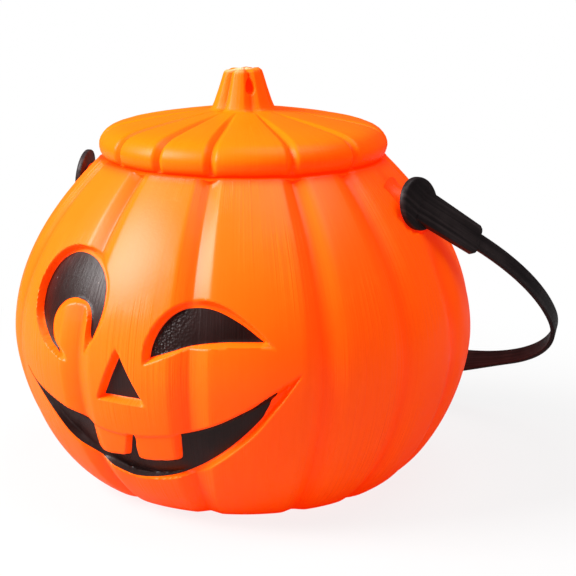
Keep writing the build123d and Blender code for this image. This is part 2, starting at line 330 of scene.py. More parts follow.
@dataclass(frozen=True)
class MouldedPlastic(Finish):
    """Blow-moulded plastic with upright die lines, painted shade that darkens its creases, a painted highlight on
    the torn tip and a painted red glow.
    """

    main: Colour = (1.0, 0.185, 0.002, 1.0)
    warm: Colour = (1.0, 0.215, 0.003, 1.0)
    # Painted shade: colour that creases, recess walls, the lid seam, the bosses and the stem's hole darken towards.
    crease_shade_colour: Colour = (1.0, 0.07, 0.0, 1.0)
    # Painted highlight: pale colour on the torn tip of the stem.
    torn: Colour = (1.0, 0.72, 0.4, 1.0)
    # Painted light: a red glow given out by the plastic itself, though it is no lamp.
    glow: Colour = (1.0, 0.02, 0.0, 1.0)
    painted_glow_strength: float = 0.68
    roughness: float = 0.37
    rough_reach: float = 0.08
    specular: float = 0.28
    ior: float = 1.49
    line_turns: float = 75.0
    line_rises: float = 9.0
    line_grit: float = 0.65
    line_span: Pair = (0.42, 0.62)
    line_show: float = 1.4
    line_trace: float = 0.08
    patch_scale: float = 22.0
    patch_share: float = 0.6
    warm_span: Pair = (0.35, 0.7)
    # How strongly the painted crease shade darkens the colour.
    crease_shade_share: float = 0.45
    grain_scale: float = 800.0
    grain_show: float = 0.12
    bump_strength: float = 0.9

    def constants(self) -> dict[str, Any]:
        """Values that are the same all over, with a painted red glow that stands in for light shining through the
        wall.
        """
        glow = {"Emission Color": self.glow, "Emission Strength": self.painted_glow_strength}
        return {**super().constants(), **glow}

    def patterns(self, bench: Bench) -> tuple[Wire, Wire, Wire]:
        """Die lines, cloudy colour, painted shade in the creases and a painted highlight on the torn tip.

        Args:
            bench: Bench of the material.

        Returns:
            Colour, roughness and height.
        """
        place = bench.place()
        lines = bench.noise(bench.around(place, self.line_turns, self.line_rises), 1.0, SOME_OCTAVES, self.line_grit)
        patch = bench.noise(place, self.patch_scale, SOME_OCTAVES)
        grain = bench.noise(place, self.grain_scale)
        crease_shade, torn = bench.attribute("crease_shade"), bench.attribute("torn")
        cloud = patch * self.patch_share + lines * (1.0 - self.patch_share)
        colour = bench.blend(bench.ease(cloud, *self.warm_span), self.main, self.warm)
        # Painted shade: darken the colour where the mesh marks creases, seams and recess walls.
        colour = bench.blend((crease_shade * crease_shade * self.crease_shade_share).most(1.0), colour, self.crease_shade_colour)
        # Painted highlight: lighten the torn tip.
        colour = bench.blend(torn.most(1.0), colour, self.torn)
        shown = bench.ease(patch, *self.line_span)
        height = lines * (shown * self.line_show + self.line_trace) + grain * self.grain_show
        rough = bench.uneven(self.roughness, (patch, self.rough_reach), (lines, self.rough_reach))
        return colour, rough, height


@dataclass(frozen=True)
class SprayedPaint(Finish):
    """Black paint sprayed over the moulding's lines, with a leathery grain in one place and a little dust."""

    name: str = "black_face_paint"
    main: Colour = (0.017, 0.004, 0.003, 1.0)
    thin: Colour = (0.03, 0.009, 0.008, 1.0)
    dust: Colour = (0.35, 0.3, 0.28, 1.0)
    roughness: float = 0.36
    line_rough: float = 0.14
    patch_rough: float = 0.08
    steep_rough: float = 0.4
    specular: float = 0.4
    line_turns: float = 90.0
    line_rises: float = 8.0
    line_grit: float = 0.7
    line_show: float = 1.2
    patch_scale: float = 60.0
    thin_span: Pair = (0.35, 0.7)
    grain_scale: float = 900.0
    grain_x: Pair = (6.0, 30.0)
    grain_z: Pair = (68.0, 70.0)
    grain_show: float = 3.0
    dust_scale: float = 190.0
    dust_span: Pair = (0.03, 0.075)
    dust_patch: float = 120.0
    dust_chosen: Pair = (0.58, 0.62)
    dust_share: float = 0.8
    dust_show: float = 0.3

    def patterns(self, bench: Bench) -> tuple[Wire, Wire, Wire]:
        """Moulded lines under the paint, its grain and its dust.

        Args:
            bench: Bench of the material.

        Returns:
            Colour, roughness and height.
        """
        place = bench.place()
        x, _, z = bench.split(place)
        lines = bench.noise(bench.around(place, self.line_turns, self.line_rises), 1.0, MANY_OCTAVES, self.line_grit)
        patch = bench.noise(place, self.patch_scale, SOME_OCTAVES)
        left, right = [edge * MM for edge in self.grain_x]
        near = (1.0 - bench.ease(x, left, right)) * bench.ease(x, 0.0, left)
        near = near * bench.ease(z, *[edge * MM for edge in self.grain_z])
        chosen = bench.ease(bench.noise(place, self.dust_patch, FEW_OCTAVES), *self.dust_chosen)
        speck = (1.0 - bench.ease(bench.cells(place, self.dust_scale), *self.dust_span)) * chosen
        colour = bench.blend(bench.ease(patch, *self.thin_span), self.main, self.thin)
        colour = bench.blend(speck * self.dust_share, colour, self.dust)
        grain = bench.cells(place, self.grain_scale) * near
        height = lines * self.line_show + grain * self.grain_show + speck * self.dust_show
        rough = bench.uneven(self.roughness, (lines, self.line_rough), (patch, self.patch_rough))
        return colour, bench.attribute("steep") * self.steep_rough + rough, height


@dataclass(frozen=True)
class StrapPlastic(Finish):
    """Black moulded plastic with streaks along the handle's loop."""

    name: str = "black_handle_plastic"
    main: Colour = (0.022, 0.015, 0.016, 1.0)
    worn: Colour = (0.07, 0.05, 0.051, 1.0)
    roughness: float = 0.44
    cloud_rough: float = 0.16
    streak_rough: float = 0.12
    specular: float = 0.22
    droop: float = 40.0
    streak_scale: float = 700.0
    streak_share: float = 0.6
    streak_show: float = 0.7
    drift_scale: float = 14.0
    cloud_scale: float = 45.0
    noise_grit: float = 0.6
    worn_span: Pair = (0.42, 0.68)
    grain_scale: float = 1100.0
    grain_show: float = 0.25
    bump_strength: float = 0.3

    def patterns(self, bench: Bench) -> tuple[Wire, Wire, Wire]:
        """Streaks in the loop's plane and clouds of wear.

        Args:
            bench: Bench of the material.

        Returns:
            Colour, roughness and height.
        """
        place = bench.place()
        turned = bench.node(
            "ShaderNodeVectorRotate",
            {"rotation_type": "X_AXIS"},
            {"Vector": place, "Angle": math.radians(self.droop)},
        )
        x, y, z = bench.split(turned)
        along = bench.vector(x * self.drift_scale, y * self.drift_scale, z * self.streak_scale)
        streaks = bench.noise(along, 1.0, MANY_OCTAVES, self.noise_grit)
        cloud = bench.noise(place, self.cloud_scale, MANY_OCTAVES, self.noise_grit)
        grain = bench.noise(place, self.grain_scale)
        wear = streaks * self.streak_share + cloud * (1.0 - self.streak_share)
        colour = bench.blend(bench.ease(wear, *self.worn_span), self.main, self.worn)
        height = streaks * self.streak_show + grain * self.grain_show
        rough = bench.uneven(self.roughness, (cloud, self.cloud_rough), (streaks, self.streak_rough))
        return colour, rough, height


@dataclass(frozen=True)
class StudioFloor:
    """Pale floor that looks white and keeps a faint shadow of the object."""

    name: str = "studio_floor"
    colour: Colour = (0.3, 0.3, 0.3, 1.0)
    mottle: Colour = (0.33, 0.33, 0.33, 1.0)
    mottle_scale: float = 40.0
    shown: Colour = (0.8, 0.8, 0.8, 1.0)
    shadow_share: float = 0.16
    shadow_reach: Pair = (0.13, 0.3)

    def make(self) -> bpy.types.Material:
        """Build the material.

        Returns:
            The material.
        """
        material, bench = open_material(self.name)
        glow = bench.node("ShaderNodeEmission", inputs={"Color": WHITE, "Strength": 1.0})
        path = bench.node("ShaderNodeLightPath", output="Is Camera Ray")
        place = bench.place()
        paper = bench.blend(bench.noise(place, self.mottle_scale, SOME_OCTAVES), self.colour, self.mottle)
        matt = bench.node("ShaderNodeBsdfDiffuse", inputs={"Color": bench.blend(path, paper, self.shown)})
        x, y, _ = bench.split(place)
        near = 1.0 - bench.ease((x * x + y * y).root(), *self.shadow_reach)
        seen = path * (1.0 - near * self.shadow_share)
        mixed = bench.node("ShaderNodeMixShader", inputs={0: seen, 1: matt, 2: glow})
        bench.node("ShaderNodeOutputMaterial", inputs={"Surface": mixed})
        return material


def mesh_object(name: str, points: np.ndarray, faces: Sequence[Sequence[int]]) -> bpy.types.Object:
    """Make an object from points in millimetres.

    Args:
        name: Name of the object and its mesh.
        points: One row for each point.
        faces: Point numbers of each face.

    Returns:
        The object, linked to the scene.
    """
    mesh = bpy.data.meshes.new(name)
    mesh.from_pydata((np.asarray(points, float) * MM).tolist(), [], [list(map(int, face)) for face in faces])
    mesh.update()
    made = bpy.data.objects.new(name, mesh)
    bpy.context.scene.collection.objects.link(made)
    return made


def edit_mesh(mesh: bpy.types.Mesh, change: Callable[[bmesh.types.BMesh], Any]) -> None:
    """Change a mesh through Blender's edit mesh.

    Args:
        mesh: The mesh.
        change: What is done to the edit mesh.
    """
    work = bmesh.new()
    work.from_mesh(mesh)
    change(work)
    work.to_mesh(mesh)
    work.free()


def merge_doubles(mesh: bpy.types.Mesh) -> None:
    """Weld points that share a place."""
    edit_mesh(mesh, lambda work: bmesh.ops.remove_doubles(work, verts=work.verts, dist=WELD_GAP))


def face_outwards(mesh: bpy.types.Mesh) -> None:
    """Turn the faces of a closed mesh outwards."""
    edit_mesh(mesh, lambda work: bmesh.ops.recalc_face_normals(work, faces=work.faces))


def soft(share: np.ndarray) -> np.ndarray:
    """Smooth step from 0 to 1."""
    held = np.clip(share, 0.0, 1.0)
    return held * held * (3.0 - 2.0 * held)


def smooth(mesh: bpy.types.Mesh, angle: float) -> None:
    """Shade smooth, with edges over an angle in degrees kept sharp."""
    mesh.polygons.foreach_set("use_smooth", np.ones(len(mesh.polygons), bool))
    mesh.set_sharp_from_angle(angle=math.radians(angle))


def bake(made: bpy.types.Object) -> None:
    """Turn an object's modifiers into its plain mesh."""
    graph = bpy.context.evaluated_depsgraph_get()
    mesh = bpy.data.meshes.new_from_object(made.evaluated_get(graph), depsgraph=graph)
    made.modifiers.clear()
    made.data = mesh
    mesh.name = made.name


def floats(mesh: bpy.types.Mesh, name: str, values: np.ndarray) -> None:
    """Store one number for each point of a mesh."""
    attribute = mesh.attributes.get(name) or mesh.attributes.new(name, "FLOAT", "POINT")
    attribute.data.foreach_set("value", np.asarray(values, np.float32))


def read_floats(mesh: bpy.types.Mesh, name: str) -> np.ndarray:
    """Read one number for each point of a mesh."""
    values = np.zeros(len(mesh.vertices), np.float32)
    mesh.attributes[name].data.foreach_get("value", values)
    return values.astype(float)


def read_points(mesh: bpy.types.Mesh) -> np.ndarray:
    """Points of a mesh in millimetres."""
    values = np.zeros(len(mesh.vertices) * 3, np.float32)
    mesh.vertices.foreach_get("co", values)
    return values.reshape(-1, 3).astype(float) / MM


def write_points(mesh: bpy.types.Mesh, points: np.ndarray) -> None:
    """Move the points of a mesh, in millimetres."""
    mesh.vertices.foreach_set("co", (points * MM).astype(np.float32).ravel())
    mesh.update()


def settle(made: bpy.types.Object, body: Body, node: str) -> None:
    """Hand a finished piece to the frame.

    Args:
        made: The piece.
        body: Body that it rides on.
        node: CAD node that it stands for.
    """
    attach(made, body.value)
    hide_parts(node)
    LOG.info("%s: %d faces on body %s", made.name, len(made.data.polygons), body.value)


@dataclass(frozen=True)
class GrooveTree:
    """Geometry Nodes tree that presses rounded grooves into a turned shell and stores painted shade for their
    valleys.
    """

    name: str = "press_grooves"
    valley_round: float = 0.5
    shoulder_share: float = 0.12

    def make(self) -> bpy.types.NodeTree:
        """Build the tree.

        Returns:
            The tree, with its sizes as named inputs.
        """
        tree = bpy.data.node_groups.new(self.name, "GeometryNodeTree")
        for name, way, kind in (
            ("Shell", "INPUT", "Geometry"), ("Valley round", "INPUT", "Float"), ("Shoulder share", "INPUT", "Float"),
            ("Finish", "INPUT", "Material"), ("Shell", "OUTPUT", "Geometry"),
        ):
            tree.interface.new_socket(name, in_out=way, socket_type=f"NodeSocket{kind}")
        bench = Bench(tree)
        given = bench.node("NodeGroupInput", output="Shell")
        valley, shoulder = given.side("Valley round"), given.side("Shoulder share")
        gap, depth, width = [self._named(bench, name) for name in ("gap", "groove_depth", "groove_width")]
        away = self._named(bench, "outward", "FLOAT_VECTOR")
        reach = (gap * gap + valley * valley).root() - valley
        rise = 1.0 - reach / width
        share = (rise + (rise * rise + shoulder * shoulder).root()) * 0.5
        offset = bench.node(
            "ShaderNodeVectorMath", {"operation": "SCALE"}, {0: away, "Scale": share * depth * -1.0}
        )
        moved = bench.node("GeometryNodeSetPosition", inputs={"Geometry": given, "Offset": offset})
        # Painted shade: the groove's depth share is stored so that the material darkens the valleys.
        stored = bench.node(
            "GeometryNodeStoreNamedAttribute",
            {"data_type": "FLOAT", "domain": "POINT"},
            {"Geometry": moved, "Name": "crease_shade", "Value": share},
        )
        real = bench.node("GeometryNodeRealizeInstances", inputs={"Geometry": stored})
        dressed = bench.node(
            "GeometryNodeSetMaterial", inputs={"Geometry": real, "Material": given.side("Finish")}
        )
        bench.node("NodeGroupOutput", inputs={0: dressed})
        return tree

    @staticmethod
    def _named(bench: Bench, name: str, kind: str = "FLOAT") -> Wire:
        """Named attribute of the shell."""
        return bench.node("GeometryNodeInputNamedAttribute", {"data_type": kind}, {"Name": name})

    def press(self, made: bpy.types.Object, tree: bpy.types.NodeTree, finish: bpy.types.Material) -> None:
        """Run the tree on a shell and keep the result as its plain mesh.

        Args:
            made: Turned shell with its groove attributes.
            tree: The tree.
            finish: Material of the shell.
        """
        values = {
            "Valley round": self.valley_round * MM,
            "Shoulder share": self.shoulder_share,
            "Finish": finish,
        }
        modifier = made.modifiers.new(self.name, "NODES")
        modifier.node_group = tree
        for item in tree.interface.items_tree:
            if item.in_out == "INPUT" and item.name in values:
                modifier[item.identifier] = values[item.name]
        bake(made)


@dataclass
class Rings:
    """Rings of a turned shell, from pole to pole."""

    radius: list[float] = field(default_factory=list)
    height: list[float] = field(default_factory=list)
    depth: list[float] = field(default_factory=list)
    width: list[float] = field(default_factory=list)
    valleys: list[int] = field(default_factory=list)
    side: list[float] = field(default_factory=list)

    def add(
        self, radius: float, height: float, depth: float = 0.0, width: float = 1.0, valleys: int = 0,
        side: Side = Side.OUTER,
    ) -> None:
        """Add one ring.

        Args:
            radius: Radius of its crests.
            height: Height over the base.
            depth: Depth of its grooves.
            width: Half width of its grooves.
            valleys: Which set of groove bearings it follows.
            side: Side of the wall that it lies on.
        """
        self.radius.append(float(radius))
        self.height.append(float(height))
        self.depth.append(float(depth) * side.value)
        self.width.append(float(width))
        self.valleys.append(valleys)
        self.side.append(side.value)

    @staticmethod
    def turned(across: np.ndarray, up: np.ndarray, turn: np.ndarray) -> np.ndarray:
        """Carry the two parts of each ring round the axis."""
        flat = across[:, None]
        return np.stack(np.broadcast_arrays(flat * np.sin(turn), -flat * np.cos(turn), up[:, None]), -1)

    def shell(self, name: str, bearings: np.ndarray, valleys: Sequence[np.ndarray]) -> bpy.types.Object:
        """Turn the rings into a closed shell with groove attributes.

        Args:
            name: Name of the object.
            bearings: Bearings of the shell's columns from the front, in degrees.
            valleys: Sets of groove bearings, in degrees.

        Returns:
            The object.
        """
        count, columns = len(self.radius), len(bearings)
        radius, height = np.array(self.radius), np.array(self.height)
        slope = np.gradient(np.stack([radius, height], 1), axis=0)
        away = np.stack([slope[:, 1], -slope[:, 0]], 1)
        away /= np.linalg.norm(away, axis=1)[:, None]
        turn = np.radians(bearings)
        points, outward = self.turned(radius, height, turn), self.turned(*away.T, turn)
        near = []
        for lines in valleys:
            wrapped = (bearings[:, None] - lines[None, :] + 180.0) % 360.0 - 180.0
            near.append(np.radians(np.abs(wrapped).min(1)))
        gap = np.stack([radius[row] * near[self.valleys[row]] for row in range(count)])
        row, column = np.arange(count - 1)[:, None] * columns, np.arange(columns)
        first, ahead = row + column, row + np.roll(column, -1)
        quads = np.stack([first, ahead, ahead + columns, first + columns], -1).reshape(-1, 4)
        made = mesh_object(name, points.reshape(-1, 3), quads)
        floats(made.data, "gap", gap.ravel() * MM)
        for attribute, values, unit in (
            ("groove_depth", self.depth, MM), ("groove_width", self.width, MM), ("side", self.side, 1.0),
        ):
            floats(made.data, attribute, np.repeat(values, columns) * unit)
        vectors = made.data.attributes.new("outward", "FLOAT_VECTOR", "POINT")
        vectors.data.foreach_set("vector", outward.astype(np.float32).ravel())
        merge_doubles(made.data)
        return made


@dataclass(frozen=True)
class PailForm:
    """Turned form of the pail, as in the CAD."""

    belly_radius: float = 94.95
    belly_height: float = 64.0
    base_radius: float = 55.0
    seat_radius: float = 58.3
    seat_height: float = 134.7
    fullness: float = 1.7

    def radius(self, height: Union[float, np.ndarray]) -> np.ndarray:
        """Crest radius at a height."""
        z = np.clip(np.asarray(height, float), 0.0, None)
        low = np.clip(1.0 - z / self.belly_height, 0.0, 1.0)
        bowl = (1.0 - low**self.fullness) ** (1.0 / self.fullness)
        high = (z - self.belly_height) / (self.seat_height - self.belly_height)
        lower = self.base_radius + (self.belly_radius - self.base_radius) * bowl
        upper = self.seat_radius + (self.belly_radius - self.seat_radius) * (1.0 - high**2)
        return np.where(z <= self.belly_height, lower, upper)

    def sunk(self, height: Union[float, np.ndarray], depth: Union[float, np.ndarray]) -> np.ndarray:
        """Radius of the surface that lies a depth below the crests."""
        step = 0.1
        z = np.asarray(height, float)
        slope = (self.radius(z + step) - self.radius(z - step)) / (2.0 * step)
        return self.radius(z) - depth * np.hypot(1.0, slope)


@dataclass(frozen=True)
class Outline:
    """Closed outline on the face, in millimetres across and up, with a curve through its points."""

    points: tuple[Pair, ...]
    corners: tuple[int, ...] = ()
    steps: int = 6

    def curve(self) -> np.ndarray:
        """Points along the outline.

        Returns:
            One row for each point, with the listed corners kept.
        """
        given = np.array(self.points)
        count = len(given)
        along = np.linspace(0.0, 1.0, self.steps, endpoint=False)[:, None]
        rows = []
        for index in range(count):
            after = (index + 1) % count
            here, there = given[index], given[after]
            leave = there - here if index in self.corners else (there - given[index - 1]) / 2.0
            reach = there - here if after in self.corners else (given[(after + 1) % count] - here) / 2.0
            rows.append(
                (2 * along**3 - 3 * along**2 + 1) * here
                + (along**3 - 2 * along**2 + along) * leave
                + (3 * along**2 - 2 * along**3) * there
                + (along**3 - along**2) * reach
            )
        return np.concatenate(rows)

    def distance(self, x: np.ndarray, z: np.ndarray) -> np.ndarray:
        """Signed distance from the outline, negative inside.

        Args:
            x: Places across the face.
            z: Heights.

        Returns:
            One distance for each place.
        """
        rim = self.curve()
        best = np.full(len(x), np.inf)
        inside = np.zeros(len(x), bool)
        for (ax, az), (bx, bz) in zip(rim, np.roll(rim, -1, 0)):
            dx, dz = bx - ax, bz - az
            share = np.clip(((x - ax) * dx + (z - az) * dz) / max(dx * dx + dz * dz, TINY), 0.0, 1.0)
            best = np.minimum(best, (x - ax - share * dx) ** 2 + (z - az - share * dz) ** 2)
            if az != bz:
                crosses = (az > z) != (bz > z)
                inside ^= crosses & (x < ax + (z - az) * dx / dz)
        return np.where(inside, -1.0, 1.0) * np.sqrt(best)

    def grown(self, margin: float) -> np.ndarray:
        """Points along the outline moved out by a margin."""
        rim = self.curve()
        along = np.roll(rim, -1, 0) - np.roll(rim, 1, 0)
        normal = np.stack([along[:, 1], -along[:, 0]], 1)
        normal /= np.maximum(np.linalg.norm(normal, axis=1), TINY)[:, None]
        area = np.sum(rim[:, 0] * np.roll(rim[:, 1], -1) - np.roll(rim[:, 0], -1) * rim[:, 1])
        return rim + normal * (margin if area > 0 else -margin)


@dataclass(frozen=True)
class Feature:
    """Recessed feature of the face with the parts that stand in it."""

    node: str
    rim: Outline
    floor: Outline
    standing: tuple[Outline, ...] = ()
    paint: Optional[Outline] = None
    draft: float = 0.7
    least_wall: float = 0.8
    widest_wall: float = 2.6

    def edges(self, x: np.ndarray, z: np.ndarray, spread: float) -> tuple[np.ndarray, np.ndarray]:
        """Signed distances from the recess's rim and floor.

        Args:
            x: Places across the face.
            z: Heights.
            spread: How far the recess is widened.

        Returns:
            Distance from the rim and from the floor, negative inside.
        """
        rim = self.rim.distance(x, z) - spread
        floor = self.floor.distance(x, z) - spread
        for part in self.standing:
            gap = part.distance(x, z) + spread
            rim = np.maximum(rim, -gap)
            floor = np.maximum(floor, self.draft - gap)
        return rim, np.maximum(floor, rim + self.least_wall)

    def ramp(self, x: np.ndarray, z: np.ndarray, spread: float = 0.0) -> np.ndarray:
        """Share of the recess's depth at each place, from 0 at the rim to 1 on the floor."""
        rim, floor = self.edges(x, z, spread)
        inside = np.clip(-rim, 0.0, None)
        wall = np.clip(inside + np.clip(floor, 0.0, None), self.least_wall, self.widest_wall)
        share = np.clip(inside / wall, 0.0, 1.0)
        return share * (0.5 + share * (1.5 - share))


TONGUE = Outline(
    (
        (-21.5, 60.0), (-20.9, 70.0), (-20.0, 78.0), (-20.1, 83.5), (-21.7, 86.7), (-24.5, 88.1), (-28.1, 88.0),
        (-31.6, 86.6), (-34.5, 83.6), (-36.1, 80.0), (-36.0, 76.6), (-34.0, 72.6), (-30.0, 68.6), (-27.5, 60.0),
    ),
    (0, 13),
)
TEETH = (
    Outline(
        (
            (-18.4, 50.0), (-19.0, 41.0), (-19.7, 33.0), (-19.4, 30.9), (-17.4, 30.1), (-11.5, 30.4), (-8.2, 30.7),
            (-6.4, 31.2), (-5.3, 33.0), (-3.0, 40.0), (-0.6, 50.0),
        ),
        (0, 10),
    ),
    Outline(
        (
            (1.8, 50.0), (1.0, 40.6), (0.2, 33.0), (0.5, 31.2), (2.5, 30.5), (8.0, 31.0), (13.0, 31.7), (15.0, 32.3),
            (16.4, 34.0), (17.6, 42.0), (18.8, 50.0),
        ),
        (0, 10),
    ),
)
GRIN = Outline(
    (
        (-57.4, 57.0), (-52.0, 53.0), (-42.4, 49.4), (-34.0, 47.0), (-26.6, 45.0), (-17.6, 42.8), (-8.9, 41.5),
        (-0.5, 41.4), (10.8, 42.7), (21.4, 44.8), (28.3, 47.0), (34.9, 49.9), (41.3, 53.5), (47.4, 57.5),
        (53.3, 62.0), (62.6, 69.6), (57.4, 60.2), (53.0, 53.8), (46.9, 45.6), (39.6, 38.5), (32.1, 32.4),
        (25.3, 28.0), (16.4, 24.2), (8.0, 22.0), (-0.4, 21.0), (-8.7, 21.7), (-16.8, 24.3), (-25.2, 28.3),
        (-33.7, 34.0), (-41.4, 42.0), (-49.5, 50.0),
    ),
    (0, 15),
)
FEATURES = (
    Feature(
        "open_eye_paint",
        Outline(
            (
                (-28.0, 65.6), (-35.3, 67.2), (-43.2, 71.2), (-49.2, 77.8), (-51.0, 84.8), (-50.4, 92.4),
                (-46.4, 100.2), (-40.2, 105.5), (-32.7, 108.2), (-25.0, 108.1), (-18.3, 105.3), (-13.8, 101.0),
                (-11.3, 96.2), (-10.7, 90.2), (-11.5, 84.2), (-14.1, 78.4), (-17.2, 73.6), (-21.6, 68.4),
            )
        ),
        Outline(
            (
                (-32.8, 66.5), (-41.2, 70.7), (-46.3, 75.6), (-49.2, 80.6), (-49.8, 86.0), (-49.2, 90.4),
                (-47.0, 95.5), (-43.2, 100.0), (-37.9, 103.4), (-32.3, 104.9), (-25.9, 104.5), (-21.1, 102.6),
                (-17.6, 99.8), (-15.3, 96.3), (-14.4, 92.5), (-14.3, 87.2), (-15.6, 81.6), (-18.1, 75.4),
                (-19.0, 77.6), (-19.5, 82.3), (-20.8, 85.7), (-23.9, 88.1), (-27.8, 89.1), (-31.7, 88.4),
                (-35.4, 86.6), (-38.7, 83.5), (-40.8, 79.4), (-40.8, 75.2), (-39.2, 71.3),
            ),
            (0, 17),
        ),
        (TONGUE,),
    ),
    Feature(
        "wink_eye_paint",
        Outline(
            (
                (7.2, 70.2), (7.2, 77.0), (9.2, 82.9), (12.3, 87.9), (16.5, 91.9), (21.5, 94.1), (27.2, 95.0),
                (31.8, 94.4), (37.2, 92.2), (42.6, 88.6), (47.9, 84.1), (53.9, 77.8), (48.0, 78.9), (39.5, 79.0),
                (31.6, 78.2), (23.5, 77.4), (18.4, 75.3), (12.9, 72.8),
            ),
            (0, 11, 15),
        ),
        Outline(
            (
                (8.4, 72.5), (8.8, 76.2), (10.0, 80.4), (12.2, 84.7), (15.1, 88.2), (18.9, 90.7), (22.8, 91.6),
                (27.4, 91.6), (32.1, 90.4), (36.8, 88.2), (41.5, 85.3), (45.3, 82.3), (48.4, 79.8), (44.3, 79.9),
                (39.0, 79.9), (32.8, 79.6), (26.4, 78.7), (21.9, 77.6), (17.9, 76.0), (13.0, 74.2),
            ),
            (0, 12),
        ),
    ),
    Feature(
        "nose_paint",
        Outline(((-4.5, 75.9), (-2.0, 71.8), (8.0, 54.4), (6.5, 54.1), (-13.7, 54.1), (-13.5, 55.0)), (0, 2, 4)),
        Outline(((-4.5, 71.6), (4.8, 56.1), (-11.8, 55.9)), (0, 1, 2)),
    ),
    Feature(
        "mouth_paint",
        GRIN,
        Outline(
            (
                (-55.6, 54.9), (-50.6, 51.0), (-42.2, 47.6), (-34.0, 45.2), (-26.6, 43.2), (-20.0, 41.5),
                (-12.2, 40.3), (-3.3, 40.1), (8.3, 41.1), (19.1, 43.2), (26.4, 45.4), (33.1, 48.4), (39.5, 51.9),
                (45.7, 55.6), (50.5, 59.5), (56.4, 64.2), (53.0, 58.6), (47.4, 51.0), (42.6, 45.4), (36.2, 39.2),
                (29.6, 33.9), (22.6, 29.2), (14.7, 25.7), (6.1, 23.6), (-2.4, 22.8), (-8.3, 23.5), (-15.8, 26.1),
                (-23.8, 30.0), (-31.8, 35.6), (-39.6, 43.2), (-48.2, 50.1),
            ),
            (0, 15),
        ),
        TEETH,
        Outline(
            (
                (-57.1, 56.8), (-51.8, 52.8), (-42.4, 49.1), (-34.0, 46.4), (-26.6, 44.0), (-20.0, 42.0),
                (-12.2, 40.5), (-3.3, 40.3), (8.3, 41.3), (19.1, 43.4), (26.4, 45.6), (33.1, 48.5), (39.5, 52.0),
                (45.7, 55.7), (50.2, 59.4), (53.8, 62.0), (52.3, 59.9), (50.9, 58.3),
                (50.0, 55.9), (48.8, 53.6), (47.4, 51.0), (42.6, 45.4), (36.2, 39.2), (29.6, 33.9), (22.6, 29.2),
                (14.7, 25.1), (6.1, 22.5), (-2.4, 21.4), (-8.7, 22.1), (-16.7, 24.7), (-25.0, 28.8), (-33.6, 34.3),
                (-41.3, 42.2), (-49.4, 50.2),
            ),
            (0, 15),
        ),
    ),
)


